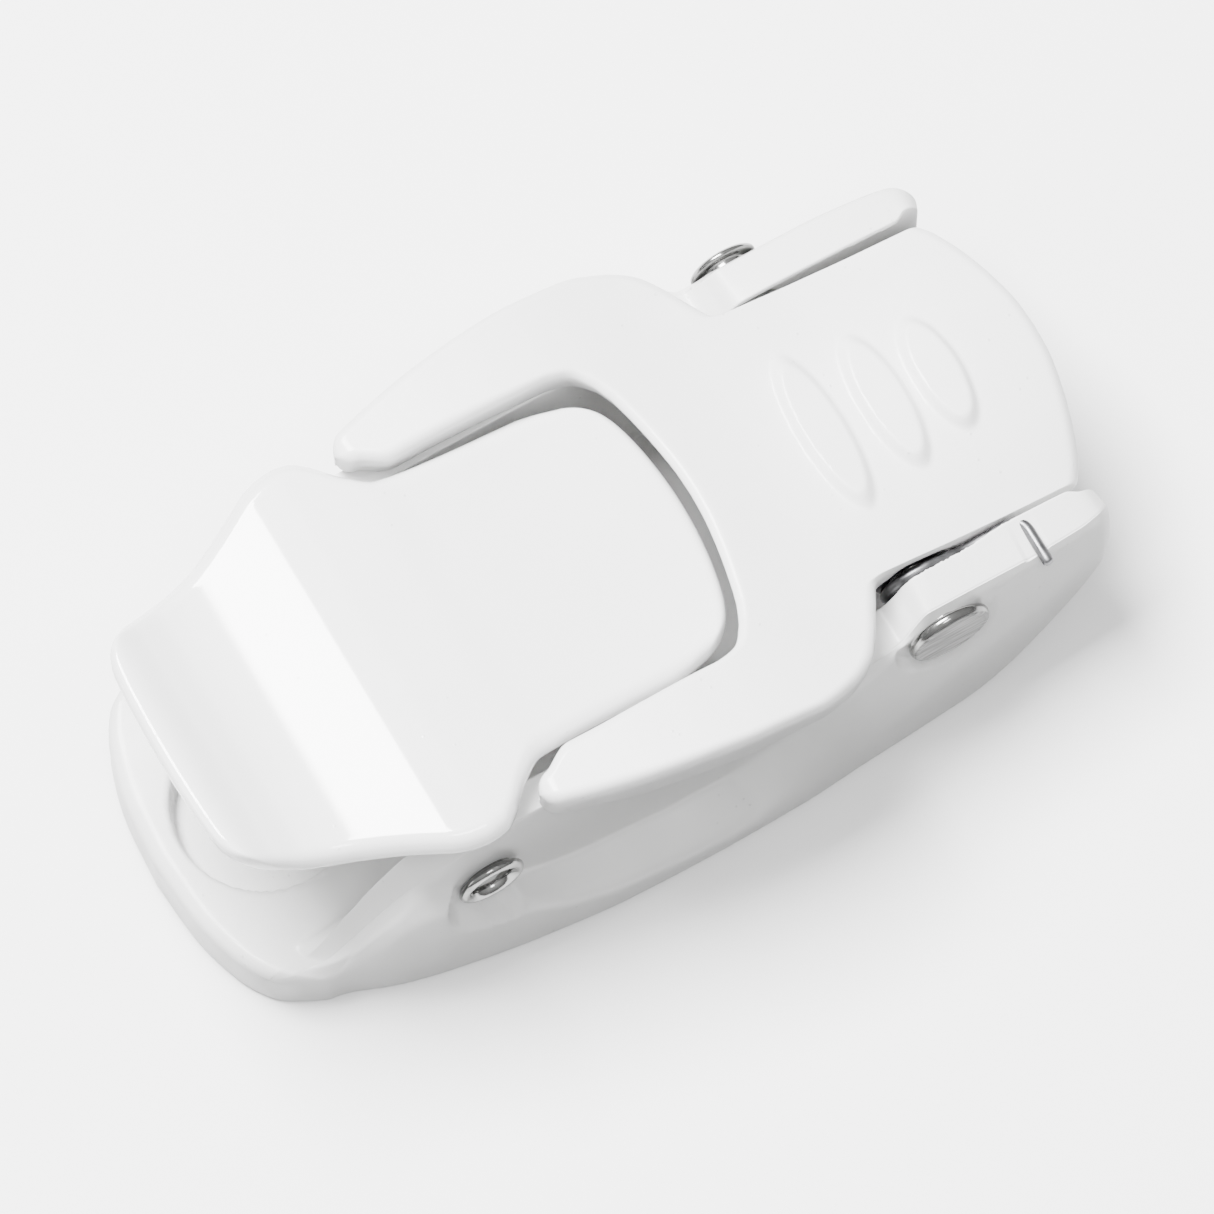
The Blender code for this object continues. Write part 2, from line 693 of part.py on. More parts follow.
def make_rivets(parts, steel):
    main_x, main_z = MAIN_AXIS
    main_profile = [
        (0, 23.35), (3.2, 23.3), (3.75, 23.0), (3.95, 22.6), (3.8, MAIN_SEAT),
        (MAIN_SHANK_RADIUS, MAIN_SEAT), (MAIN_SHANK_RADIUS, -MAIN_SEAT),
        (4.3, -MAIN_SEAT), (MAIN_HEAD_RADIUS, -22.5), (4.5, -22.9), (4.25, -23.3),
        (3.9, -MAIN_HEAD_FACE), (0, -MAIN_HEAD_FACE),
    ]
    turned_object("main_pivot_rivet", main_profile, (main_x, 0, main_z), steel, parts)
    thumb_x, thumb_z = THUMB_AXIS
    thumb_profile = [
        (0, 22.3), (2.0, 22.15), (3.4, 21.6), (3.9, 21.0), (3.8, THUMB_SEAT),
        (THUMB_SHANK_RADIUS, THUMB_SEAT), (THUMB_SHANK_RADIUS, -THUMB_SEAT),
        (3.4, -THUMB_SEAT - 0.02), (THUMB_ROLL_RADIUS, -21.15), (3.55, -21.6),
        (3.05, -THUMB_FACE), (2.55, -21.7), (THUMB_HOLE_RADIUS, -21.2),
        (THUMB_HOLE_RADIUS, -THUMB_SEAT + THUMB_HOLE_DEPTH), (0, -THUMB_SEAT + THUMB_HOLE_DEPTH + 0.8),
    ]
    turned_object("thumb_pivot_rivet", thumb_profile, (thumb_x, 0, thumb_z), steel, parts)


def make_rings(parts, steel):
    main_x, main_z = MAIN_AXIS
    half = SLEEVE_HALF_LENGTH
    sleeve = [(SLEEVE_OUTER, half), (SLEEVE_OUTER, -half), (SLEEVE_INNER, -half), (SLEEVE_INNER, half)]
    turned_object("pivot_sleeve", sleeve, (main_x, 0, main_z), steel, parts)
    washer = [(WASHER_OUTER, 17.0), (WASHER_OUTER, 16.1), (LUG_BORE_RADIUS, 16.1), (LUG_BORE_RADIUS, 17.0)]
    turned_object("pivot_washer", washer, (main_x, 0, main_z), steel, parts)
    thumb_x, thumb_z = THUMB_AXIS
    for name, middle in (("thumb_washer_near", -16.1), ("thumb_washer_far", 16.1)):
        shim = [
            (SHIM_OUTER, middle + 0.2), (SHIM_OUTER, middle - 0.2),
            (THUMB_BORE_RADIUS, middle - 0.2), (THUMB_BORE_RADIUS, middle + 0.2),
        ]
        turned_object(name, shim, (thumb_x, 0, thumb_z), steel, parts)


# ---------------------------------------------------------------- springs

def make_springs(parts, steel):
    main_x, main_z = MAIN_AXIS
    top = main_z + MAIN_COIL_RADIUS
    points = [
        (NOTCH_X + 0.1, -22.3, top), (NOTCH_X + 0.1, LEG_Y - 2.0, top),
        (NOTCH_X, LEG_Y - 1.2, top), (NOTCH_X - 0.5, LEG_Y - 0.45, top),
        (NOTCH_X - 1.3, LEG_Y - 0.08, top), (NOTCH_X - 2.2, LEG_Y, top),
    ]
    count = int(MAIN_TURNS * 14)
    for i in range(count + 1):
        angle = math.pi / 2 + 2 * math.pi * MAIN_TURNS * i / count
        along = LEG_Y + MAIN_PITCH * MAIN_TURNS * i / count
        points.append((
            main_x + MAIN_COIL_RADIUS * math.cos(angle), along,
            main_z + MAIN_COIL_RADIUS * math.sin(angle),
        ))
    end_y = points[-1][1]
    points += [(x, end_y, z) for x, z in (TAIL_BEND, TAIL_END)]
    wire_object("main_torsion_spring", points, MAIN_WIRE / 2, (main_x, 0, main_z), steel, parts)
    for side, name in ((-1, "near"), (1, "far")):
        y = side * SPRING_PEG_Y
        points = [(SPRING_PEG_X, y, THUMB_SPRING_BOTTOM), (SPRING_PEG_X, y, THUMB_COIL_START - 0.8)]
        count = THUMB_COIL_TURNS * 12
        for i in range(count + 1):
            angle = 2 * math.pi * THUMB_COIL_TURNS * i / count
            points.append((
                SPRING_PEG_X + THUMB_COIL_RADIUS * math.cos(angle),
                y + THUMB_COIL_RADIUS * math.sin(angle),
                THUMB_COIL_START + THUMB_COIL_PITCH * THUMB_COIL_TURNS * i / count,
            ))
        end = THUMB_COIL_START + THUMB_COIL_PITCH * THUMB_COIL_TURNS
        points += [(SPRING_PEG_X, y, end + 0.8), (SPRING_PEG_X, y, THUMB_SPRING_TOP)]
        origin = (SPRING_PEG_X, y, THUMB_SPRING_BOTTOM)
        wire_object(f"thumb_spring_{name}", points, THUMB_WIRE / 2, origin, steel, parts)


def main():
    clear_scene()
    parts = new_collection("stair_gate_latch")
    cutters = new_collection("cutters")
    casting_paint = new_material("casting_paint", (0.86, 0.86, 0.85), 0.42, 0.0)
    fork_paint = new_material("fork_paint", (0.9, 0.9, 0.9), 0.36, 0.0)
    thumb_paint = new_material("thumb_paint", (0.92, 0.92, 0.92), 0.16, 0.0)
    rivet_steel = new_material("rivet_steel", (0.62, 0.62, 0.61), 0.28, 1.0)
    spring_steel = new_material("spring_steel", (0.35, 0.35, 0.36), 0.3, 1.0)
    make_base(parts, cutters, casting_paint)
    make_fork(parts, cutters, fork_paint)
    make_thumb(parts, cutters, thumb_paint)
    make_rivets(parts, rivet_steel)
    make_rings(parts, rivet_steel)
    make_springs(parts, spring_steel)


main()
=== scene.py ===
"""Stair gate latch: the castings, rivets and springs as worked surfaces, laid out as an add-on.

X runs along the latch towards the finger end, Y across it and Z up from its flat underside.
Shapes are worked out in millimetres and stored in metres.
"""

import json
import math

import bpy
import numpy as np
from mathutils import Matrix, Vector


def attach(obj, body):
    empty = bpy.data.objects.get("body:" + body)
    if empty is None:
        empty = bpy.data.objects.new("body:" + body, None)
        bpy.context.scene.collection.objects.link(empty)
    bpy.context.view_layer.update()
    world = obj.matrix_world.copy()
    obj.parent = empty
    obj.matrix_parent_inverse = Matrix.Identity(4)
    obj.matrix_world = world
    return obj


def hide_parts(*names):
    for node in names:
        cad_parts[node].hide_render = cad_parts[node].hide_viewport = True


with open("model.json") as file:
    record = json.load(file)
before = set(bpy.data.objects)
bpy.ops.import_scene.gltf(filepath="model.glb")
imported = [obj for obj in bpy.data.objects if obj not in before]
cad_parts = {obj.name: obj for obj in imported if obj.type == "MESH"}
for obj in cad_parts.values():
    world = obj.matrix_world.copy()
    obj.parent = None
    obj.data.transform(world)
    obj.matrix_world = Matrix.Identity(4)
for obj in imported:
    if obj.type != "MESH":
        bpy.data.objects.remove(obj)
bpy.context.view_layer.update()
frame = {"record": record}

bl_info = {
    "name": "Stair Gate Latch",
    "version": (1, 0, 0),
    "blender": (4, 5, 0),
    "location": "3D View > Sidebar > Latch",
    "description": "Builds a stair gate latch with a forked lever and a thumb lever",
    "category": "Add Mesh",
}

MM = 0.001
JOINTS = {joint["name"]: joint for joint in frame["record"]["behaviour"]["joints"]}
MAIN_X = JOINTS["fork_hinge"]["pos_m"][0] / MM
MAIN_Z = JOINTS["fork_hinge"]["pos_m"][2] / MM
THUMB_X = JOINTS["thumb_hinge"]["pos_m"][0] / MM
THUMB_Z = JOINTS["thumb_hinge"]["pos_m"][2] / MM


# ---------------------------------------------------------------- formulas

def through(x, knots):
    """The smooth curve through (x, value) knots: cubic pieces whose slopes at each knot are the
    harmonic mean of the two straight slopes beside it, or zero where the curve turns."""
    table = np.array(knots, float)
    place = table[:, 0]
    value = table[:, 1]
    step = np.diff(place)
    slope = np.diff(value) / step
    turns = slope[:-1] * slope[1:] > 0
    total = np.where(turns, slope[:-1] + slope[1:], 1.0)
    inner = np.where(turns, 2 * slope[:-1] * slope[1:] / total, 0.0)
    tangent = np.concatenate([slope[:1], inner, slope[-1:]])
    x = np.asarray(x, float)
    index = np.clip(np.searchsorted(place, x) - 1, 0, len(step) - 1)
    t = np.clip((x - place[index]) / step[index], 0.0, 1.0)
    rise = step[index]
    return (
        (1 + 2 * t) * (1 - t) ** 2 * value[index]
        + t * (1 - t) ** 2 * rise * tangent[index]
        + t * t * (3 - 2 * t) * value[index + 1]
        + t * t * (t - 1) * rise * tangent[index + 1]
    )


def soft_step(low, high, x):
    """0 below low, 1 above high and an S between: 3t^2 - 2t^3."""
    t = np.clip((np.asarray(x, float) - low) / (high - low), 0.0, 1.0)
    return t * t * (3 - 2 * t)


def soft_min(a, b, blend):
    """The lower of a and b, rounded over a width of blend where they cross."""
    gap = np.clip(0.5 + 0.5 * (b - a) / blend, 0.0, 1.0)
    return b * (1 - gap) + a * gap - blend * gap * (1 - gap)


def rounded_paths(corners, cuts, arc, runs):
    """Open paths, one a row, through corners (rows, corners, 2). A corner is a parabola between
    points cuts[i] before and after it, in arc steps; run i to the next corner has runs[i] steps."""
    back = np.roll(corners, 1, axis=1) - corners
    ahead = np.roll(corners, -1, axis=1) - corners
    reach_back = np.maximum(np.linalg.norm(back, axis=2, keepdims=True), 1e-9)
    reach_ahead = np.maximum(np.linalg.norm(ahead, axis=2, keepdims=True), 1e-9)
    cut = np.array(cuts, float)[None, :, None]
    start = corners + back * np.minimum(cut / reach_back, 0.45)
    end = corners + ahead * np.minimum(cut / reach_ahead, 0.45)
    t = np.linspace(0, 1, arc + 1)[None, :, None]
    found = [corners[:, :1]]
    last = corners[:, :1]
    for i in range(1, corners.shape[1]):
        final = i == corners.shape[1] - 1
        target = corners[:, i:i + 1] if final or not cuts[i] else start[:, i:i + 1]
        run = np.linspace(0, 1, runs[i - 1] + 1)[None, 1:, None]
        found.append(last * (1 - run) + target * run)
        last = target
        if not final and cuts[i]:
            curve = (
                (1 - t) ** 2 * start[:, i:i + 1]
                + 2 * t * (1 - t) * corners[:, i:i + 1]
                + t * t * end[:, i:i + 1]
            )
            found.append(curve[:, 1:])
            last = end[:, i:i + 1]
    return np.concatenate(found, axis=1)


# ---------------------------------------------------------------- meshes

def surface(name, grid, wrap_rows=False, wrap_columns=True, ladder_ends=False, rims=None):
    """A mesh from a grid of points (rows, columns, 3) in mm: each cell is a face. Ladder ends close
    the first and last rows by joining point i to point -1 - i; rims close them with one face."""
    rows, columns = grid.shape[:2]
    index = np.arange(rows * columns).reshape(rows, columns)
    if wrap_rows:
        index = np.concatenate([index, index[:1]])
    if wrap_columns:
        index = np.concatenate([index, index[:, :1]], axis=1)
    cells = np.stack(
        [index[:-1, :-1], index[:-1, 1:], index[1:, 1:], index[1:, :-1]], axis=2
    ).reshape(-1, 4)
    if ladder_ends:
        half = columns // 2
        i = np.arange(half - 1)
        first = np.stack([i + 1, i, columns - 1 - i, columns - 2 - i], axis=1)
        cells = np.concatenate([cells, first, first[:, ::-1] + (rows - 1) * columns])
    mesh = bpy.data.meshes.new(name)
    polygons = cells.tolist()
    if rims:
        polygons += [list(range(columns))[::-1], list(range((rows - 1) * columns, rows * columns))]
    mesh.from_pydata((grid.reshape(-1, 3) * MM).tolist(), [], polygons)
    return mesh


def signed_volume(mesh):
    """Six times the volume that a closed mesh holds, positive where its faces point outwards."""
    mesh.calc_loop_triangles()
    points = np.empty(len(mesh.vertices) * 3)
    mesh.vertices.foreach_get("co", points)
    corners = np.empty(len(mesh.loop_triangles) * 3, np.int32)
    mesh.loop_triangles.foreach_get("vertices", corners)
    corners = points.reshape(-1, 3)[corners.reshape(-1, 3)]
    return float(np.linalg.det(corners).sum())


def finish_piece(name, meshes, material, body, nodes):
    """Joins closed meshes into one smooth object that rides on a body and stands for CAD nodes."""
    vertices = []
    polygons = []
    for mesh in meshes:
        if signed_volume(mesh) < 0:
            mesh.flip_normals()
        points = np.empty(len(mesh.vertices) * 3)
        mesh.vertices.foreach_get("co", points)
        first = sum(len(part) for part in vertices)
        vertices.append(points.reshape(-1, 3))
        polygons += [[first + i for i in face.vertices] for face in mesh.polygons]
    joined = bpy.data.meshes.new(name)
    joined.from_pydata(np.concatenate(vertices).tolist(), [], polygons)
    joined.polygons.foreach_set("use_smooth", np.ones(len(joined.polygons), bool))
    joined.materials.append(material)
    obj = bpy.data.objects.new(name, joined)
    bpy.context.scene.collection.objects.link(obj)
    for mesh in meshes:
        bpy.data.meshes.remove(mesh)
    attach(obj, body)
    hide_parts(*nodes)


def turned(name, profile, x, z, steps=96):
    """A surface turned about the Y axis at (x, z): profile is (radius, y), carried round a circle.
    A profile that starts and ends on the axis is closed there by points drawn in to a hair."""
    profile = np.array(profile, float)
    angle = np.linspace(0, 2 * math.pi, steps, endpoint=False)[None, :]
    radius = np.maximum(profile[:, :1], 0.01)
    grid = np.stack([
        x + radius * np.cos(angle),
        profile[:, 1:] + 0 * angle,
        z + radius * np.sin(angle),
    ], axis=2)
    closed = profile[0, 0] > 0.02
    return surface(name, grid, wrap_rows=closed, rims=not closed)


def softened(profile, cut=0.12, steps=3):
    """A turned profile whose inner corners are each a short parabola."""
    points = np.array(profile, float)[None]
    count = points.shape[1]
    return rounded_paths(points, [0.0] + [cut] * (count - 2) + [0.0], steps, [2] * (count - 1))[0]


def tube(name, path, radius, sides=14):
    """A round wire: a circle carried along a path, square to it, its ends drawn in to round caps."""
    path = np.array(path, float)
    tangent = np.gradient(path, axis=0)
    tangent /= np.linalg.norm(tangent, axis=1, keepdims=True)
    across = np.cross(tangent, np.array([0.27, 0.9, 0.34]))
    across /= np.linalg.norm(across, axis=1, keepdims=True)
    upward = np.cross(tangent, across)
    cap = np.linspace(0, math.pi / 2, 4)[:-1]
    size = np.full(len(path), radius)
    lead = path[0] - tangent[0] * radius * 0.5 * np.cos(cap)[:, None]
    tail = path[-1] + tangent[-1] * radius * 0.5 * np.cos(cap[::-1])[:, None]
    centre = np.concatenate([lead, path, tail])
    size = np.concatenate([
        radius * np.maximum(np.sin(cap), 0.05), size, radius * np.maximum(np.sin(cap[::-1]), 0.05),
    ])
    across = np.concatenate([across[:1].repeat(3, 0), across, across[-1:].repeat(3, 0)])
    upward = np.concatenate([upward[:1].repeat(3, 0), upward, upward[-1:].repeat(3, 0)])
    angle = np.linspace(0, 2 * math.pi, sides, endpoint=False)[None, :, None]
    ring = np.cos(angle) * across[:, None] + np.sin(angle) * upward[:, None]
    grid = centre[:, None] + size[:, None, None] * ring
    return surface(name, grid, rims=True)


def rounded_line(points, steps=8):
    """A smooth curve through 3-D points, each coordinate by the through formula on the path."""
    points = np.array(points, float)
    reach = np.concatenate([[0], np.cumsum(np.linalg.norm(np.diff(points, axis=0), axis=1))])
    at = np.unique(np.concatenate([
        np.linspace(a, b, steps + 1) for a, b in zip(reach, reach[1:])
    ]))
    return np.stack([through(at, list(zip(reach, points[:, k]))) for k in range(3)], axis=1)


# ---------------------------------------------------------------- base casting

def side_width(x):
    """Half width of the casting's outer side, the smooth curve through its knots along X."""
    return through(x, (
        (-51, 19.0), (-43, 19.5), (-36, 21.4), (-30, 22.8), (-20, 24.4), (-10, 25.3), (0, 25.5),
        (10, 25.3), (16.6, 24.8), (25.4, 24.2), (35, 23.4), (42, 22.7), (48.2, 21.9),
    ))


def keel_height(x):
    """Height of the underside: flat, then rising towards the finger end."""
    return through(x, (
        (-51, 0.0), (30, 0.0), (32, 0.5), (35, 2.1), (38.5, 5.2), (42, 8.8), (45, 12.6),
        (46.6, 15.8), (48.2, 19.3),
    ))


def fold_height(x):
    """Height of the soft fold where each side turns out below the levers."""
    return through(x, (
        (-51, 6.3), (-43, 6.3), (-40, 8.4), (-37, 12.6), (-34, 17.0), (-31, 18.7), (-28, 17.3),
        (-24.2, 13.7), (-16.4, 7.3), (-11, 5.5), (-4, 4.0), (3, 3.2), (8, 3.4), (14, 4.8),
        (20, 7.6), (26, 10.8), (32, 12.8), (38, 14.4), (44, 16.8), (48.2, 20.6),
    ))


def foot_width(x):
    """Half width at the foot of the upper wall, on the same kind of curve."""
    return through(x, (
        (-51, 18.0), (-43, 18.5), (-40, 19.5), (-37, 20.2), (-34, 20.8), (-28, 20.7), (-24, 20.6),
        (-19.8, 20.3), (-3, 20.3), (2.6, 20.6), (7.3, 21.6), (12, 22.8), (16.6, 23.4), (20, 22.9),
        (24, 22.0), (28, 21.6), (36, 21.6), (44, 21.2), (48.2, 20.6),
    ))


def foot_height(x):
    """Height of the foot of the upper wall, low beside the prongs and high at both pivots."""
    return through(x, (
        (-51, 7.4), (-43, 7.4), (-40, 10.2), (-37, 15.0), (-34, 19.0), (-31, 21.0), (-28, 19.6),
        (-24, 15.4), (-19.8, 11.0), (-14, 8.0), (-8.6, 6.8), (-3, 5.9), (2.6, 6.8), (7.3, 12.0),
        (12, 17.2), (16.6, 20.8), (20, 21.5), (24, 22.1), (26, 23.2), (28, 23.6), (36, 23.4),
        (44, 22.8), (48.2, 22.0),
    ))


def top_width(x):
    """Half width of the wall's outer top edge."""
    return through(x, (
        (-51, 17.3), (-43, 17.4), (-40, 18.0), (-36, 18.6), (-31, 19.3), (-27, 20.1), (-20, 20.3),
        (2.6, 20.3), (7.3, 21.0), (12, 22.0), (16.6, 22.5), (20, 22.1), (23, 21.5), (26, 21.0),
        (36, 21.0), (44, 20.6), (48.2, 19.5),
    ))


def top_height(x):
    """Height of the wall's inner top edge: the tongue, a ramp, the level wall, a dip and the ear."""
    return through(x, (
        (-51, 8.1), (-43, 8.1), (-42.2, 8.7), (-38, 15.0), (-34.4, 20.5), (-31, 24.4),
        (-26, 27.6), (-22, 28.3), (3, 28.2), (8, 26.6), (12, 25.3), (16.6, 24.0), (20, 23.0),
        (22.6, 22.2), (24.4, 23.6), (26.4, 25.8), (28, 26.0), (36, 25.7), (44, 25.0),
        (46.6, 24.3), (48.2, 23.0),
    ))


def bevel_drop(x):
    """How far the wall's outer top edge lies below its inner one."""
    return through(x, (
        (-51, 0.2), (-43, 0.2), (-41, 1.6), (-34, 2.2), (-28, 1.6), (-24, 0.2), (24, 0.2),
        (28, 1.0), (44, 1.0), (48.2, 0.6),
    ))


def wall_inside(x):
    """Half width of the hollow at the wall's top."""
    return through(x, ((-51, 16.2), (-36, 16.6), (-26, 17.0), (-10, 17.2), (8, 17.3), (48.2, 17.4)))


def corner_inside(x):
    """Half width of the hollow at its floor."""
    return through(x, ((-51, 14.6), (-35, 14.8), (-30, 16.3), (48.2, 16.9)))


def floor_height(x):
    """Height of the hollow's floor: the tongue, a step down, the level floor and a rise."""
    return through(x, (
        (-51, 8.1), (-28, 8.1), (-26.6, 7.2), (-24.6, 3.6), (-23.4, 3.0), (30, 3.0), (34, 4.6),
        (38.5, 8.2), (42, 11.6), (44, 13.6), (45.6, 15.4), (48.2, 17.0),
    ))


def tongue_line(y):
    """X of the rounded end of the tongue at a distance y from the middle."""
    return through(np.abs(y), ((0, -51.2), (6.5, -50.7), (12.5, -49.2), (16.5, -46.9), (19.3, -42.8)))


def nose_line(y):
    """X of the finger end: a lip between the ears, which run a little further."""
    return through(np.abs(y), ((0, 45.6), (15.5, 45.6), (17.4, 47.6), (19, 48.2), (21.5, 47.4)))


def hull_bend(nominal, y):
    """X at y of the station that is straight at nominal X, bowing towards each end's own line."""
    start = np.clip((-34.0 - nominal) / 17.0, 0.0, 1.0)
    finish = np.clip((nominal - 38.0) / 10.2, 0.0, 1.0)
    straight = np.clip(nominal, -34.0, 38.0)
    return straight + start * (tongue_line(y) + 34.0) + finish * (nose_line(y) - 38.0)


def hull_grid(sizes):
    """Closed sections of the casting: an outer path over its sides and underside and an inner one
    over its walls and floor, each corner on its own curve along X. At both ends the corners step
    inwards round a quarter circle. Spot faces, recess and notch are pressed into the grid."""
    edge = 1.7
    turn = np.linspace(0.0, math.pi / 2, 11)[:-1]
    lead = edge * (1 - np.cos(turn))
    nominal = np.concatenate([
        -51.0 + lead, np.arange(-49.2, -22, 0.30), np.arange(-22, 20, 0.5),
        np.arange(20, 46.4, 0.26), 48.2 - lead[::-1],
    ])
    trim = np.concatenate([
        edge * (1 - np.sin(turn)), np.zeros(len(nominal) - 2 * len(turn)), edge * (1 - np.sin(turn[::-1])),
    ])[:, None]
    guess = hull_bend(nominal, 18.0)
    widths = np.stack(
        [top_width(guess), foot_width(guess), side_width(guess), side_width(guess)], axis=1
    )
    wall = wall_inside(guess)
    corner = corner_inside(guess)
    inner = np.stack(
        [wall, wall * 0.67 + corner * 0.33, wall * 0.33 + corner * 0.67, corner], axis=1
    )
    xs = hull_bend(nominal[:, None], widths)
    heights = np.stack([
        top_height(xs[:, 0]) - bevel_drop(xs[:, 0]), foot_height(xs[:, 1]),
        fold_height(xs[:, 2]), keel_height(xs[:, 3]),
    ], axis=1)
    ix = hull_bend(nominal[:, None], inner)
    top = top_height(ix[:, 0])
    floor = floor_height(ix[:, 3])
    inner_heights = np.stack(
        [top, top * 0.67 + floor * 0.33, top * 0.33 + floor * 0.67, floor], axis=1
    )
    across = np.array([-0.86, -0.6, -0.3, 0.0, 0.3, 0.6, 0.86])[None, :]
    under_y = (widths[:, 3:] - trim) * across
    over_y = inner[:, 3:] * across
    under_z = keel_height(hull_bend(nominal[:, None], under_y)) + 0.5 * trim
    over_z = floor_height(hull_bend(nominal[:, None], over_y)) - trim
    under = np.stack([under_y, under_z], axis=2)
    over = np.stack([over_y, over_z], axis=2)
    drop = trim * np.array([[1.0, 0.7, 0.3, -0.5]])
    right = np.stack([widths - trim, heights - drop], axis=2)
    right_in = np.stack([inner, inner_heights - trim], axis=2)
    flip = np.array([-1.0, 1.0])
    outer = np.concatenate([right * flip, under, right[:, ::-1]], axis=1)
    inside = np.concatenate([right_in * flip, over, right_in[:, ::-1]], axis=1)
    outer_cuts = [0.0, 0.7, 1.5, 0.9] + [0.0] * 7 + [0.9, 1.5, 0.7, 0.0]
    inner_cuts = [0.0, 0.5, 0.5, 2.0] + [0.0] * 7 + [2.0, 0.5, 0.5, 0.0]
    runs = [16, 14, 12] + [4, 9, 9, 9, 9, 9, 9, 4] + [12, 14, 16]
    outside_path = rounded_paths(outer, outer_cuts, 5, runs)
    inside_path = rounded_paths(inside, inner_cuts, 5, runs)
    loops = np.concatenate([outside_path, inside_path[:, ::-1]], axis=1)
    along = hull_bend(nominal[:, None], loops[..., 0])
    grid = np.stack([along, loops[..., 0], loops[..., 1]], axis=2)
    half = outside_path.shape[1]
    return fill_wall_tops(press_features(grid, half, sizes), half)


def press_features(grid, half, sizes):
    """Presses round spot faces into the outer sides, a round recess into the tongue, a lip along
    the ears' inner edges and a groove for the spring's leg: each moves points to a limit."""
    x, y, z = grid[..., 0], grid[..., 1], grid[..., 2]
    outside = np.zeros(grid.shape[:2], bool)
    outside[:, :half] = True
    wide = outside & (np.abs(y) > 18.5)
    for centre_x, centre_z, seat, radius, spread in (
        (MAIN_X, MAIN_Z, 22.0, 5.6, 1.2), (THUMB_X, THUMB_Z, 20.65, 4.4, 1.7),
    ):
        reach = np.hypot(x - centre_x, z - centre_z)
        limit = seat + 3.4 * (np.clip(reach - radius, 0, None) / spread) ** 2
        lowered = np.minimum(soft_min(np.abs(y), limit, 0.3), np.abs(y))
        y = np.where(wide & (reach < radius + 2 * spread), np.sign(y) * lowered, y)
    reach = np.hypot(x - sizes.recess_x / MM, y)
    edge = sizes.recess_radius / MM
    sink = 1 - soft_step(edge - 0.3, edge + 0.15, reach)
    floor = ~outside & (z < 8.6) & (x < -26)
    z = np.where(floor, z - sink * sizes.recess_depth / MM, z)
    lip = ~outside & (z > top_height(x) - 0.95) & (x > 23.5)
    ripple = 0.06 * np.sin(3.1 * x) * np.sin(7.3 * x + 1.0) + 0.025 * np.sin(11.0 * x)
    fade = soft_step(23.5, 25.5, x) * (1 - soft_step(44.4, 46.2, x))
    near_lip = -17.25 + 0.5 * soft_step(32.0, 38.0, x) + ripple * (x < 38.0)
    y = np.where(lip & (y > 16.5), y - fade * np.clip(y - 16.6, 0, None), y)
    y = np.where(lip & (y < -16.5), y + fade * (near_lip - y), y)
    groove = 24.25 + 5.0 * soft_step(1.35, 1.7, np.abs(x - 38.9))
    ear = (y < -16.9) & (z > 22.5)
    z = np.where(ear, np.minimum(z, groove), z)
    return np.stack([x, y, z], axis=2)


def fill_wall_tops(grid, half):
    """Spans each wall's top in straight lines from outer to inner edge, both edges eased down. The
    left span is split between the loop's two ends, so outer and inner points still pair up."""
    ease = 0.16
    parts = np.array([0.02, 0.06, 0.14, 0.36, 0.64, 0.86, 0.94, 0.98])[None, :, None]
    outer, inner = grid[:, :half].copy(), grid[:, half:].copy()
    right = outer[:, -1:] + parts * (inner[:, :1] - outer[:, -1:])
    left = inner[:, -1:] + parts * (outer[:, :1] - inner[:, -1:])
    outer[:, [0, -1], 2] -= ease
    inner[:, [0, -1], 2] -= ease * soft_step(-38.0, -34.0, inner[:, [0, -1], 0])
    middle = parts.shape[1] // 2
    return np.concatenate([left[:, middle:], outer, right, inner, left[:, :middle]], axis=1)


# ---------------------------------------------------------------- fork lever

FORK_STATIONS = np.array([
    # throat x, throat y, outer x, outer y, from the middle round to a prong's tip
    (11.0, 0.0, 51.0, 0.0), (10.9, 2.4, 50.85, 3.0), (10.6, 5.0, 50.3, 6.2), (10.2, 7.4, 49.5, 9.4),
    (9.8, 9.3, 48.4, 12.6), (9.45, 10.8, 47.3, 14.9), (9.2, 11.7, 46.2, 15.9),
    (9.0, 12.4, 42.0, 15.9), (8.7, 13.1, 36.0, 15.9), (8.4, 13.8, 30.0, 15.9),
    (8.1, 14.4, 25.2, 15.9), (7.7, 15.0, 23.2, 16.2), (7.2, 15.7, 21.6, 18.4),
    (6.4, 16.4, 19.9, 21.3), (5.2, 16.8, 18.2, 23.4), (3.6, 17.0, 15.0, 25.1),
    (1.4, 17.0, 10.6, 26.0), (-1.8, 17.05, 5.0, 25.95), (-5.4, 17.1, -1.4, 25.4),
    (-9.4, 17.15, -7.6, 24.5), (-13.0, 17.1, -12.8, 23.4), (-16.3, 18.7, -16.5, 22.4),
])
PADS = ((26.3, 9.5), (33.4, 8.2), (39.6, 6.9))
PAD_HALF_WIDTH = 2.6
COIL_RELIEF_RADIUS = 4.62
COIL_RELIEF_END = -11.4


def fork_top(x, y):
    """Height of the fork lever's top: level prongs, a drop, then a dished and crowned end."""
    middle = through(x, (
        (-20, 34.0), (-8, 34.0), (-2, 33.8), (4, 33.1), (8, 32.2), (12, 31.0), (16, 29.7),
        (20, 28.6), (24, 27.9), (30, 27.3), (36, 27.0), (42, 26.6), (48, 25.9), (52, 25.3),
    ))
    crown = through(x, ((-20, 0.0), (20, 0.0), (26, 0.5), (32, 1.6), (40, 2.8), (52, 3.4)))
    return middle - crown * (np.asarray(y) / 16.0) ** 2


def pad_height(x, y, height):
    """Soft-edged ovals: full height inside 0.78 of each ellipse, falling to nothing at its edge."""
    lift = 0.0
    for centre, length in PADS:
        reach = np.sqrt(((x - centre) / PAD_HALF_WIDTH) ** 2 + (y / length) ** 2)
        lift = lift + height * (1 - soft_step(0.78, 1.02, reach))
    return lift


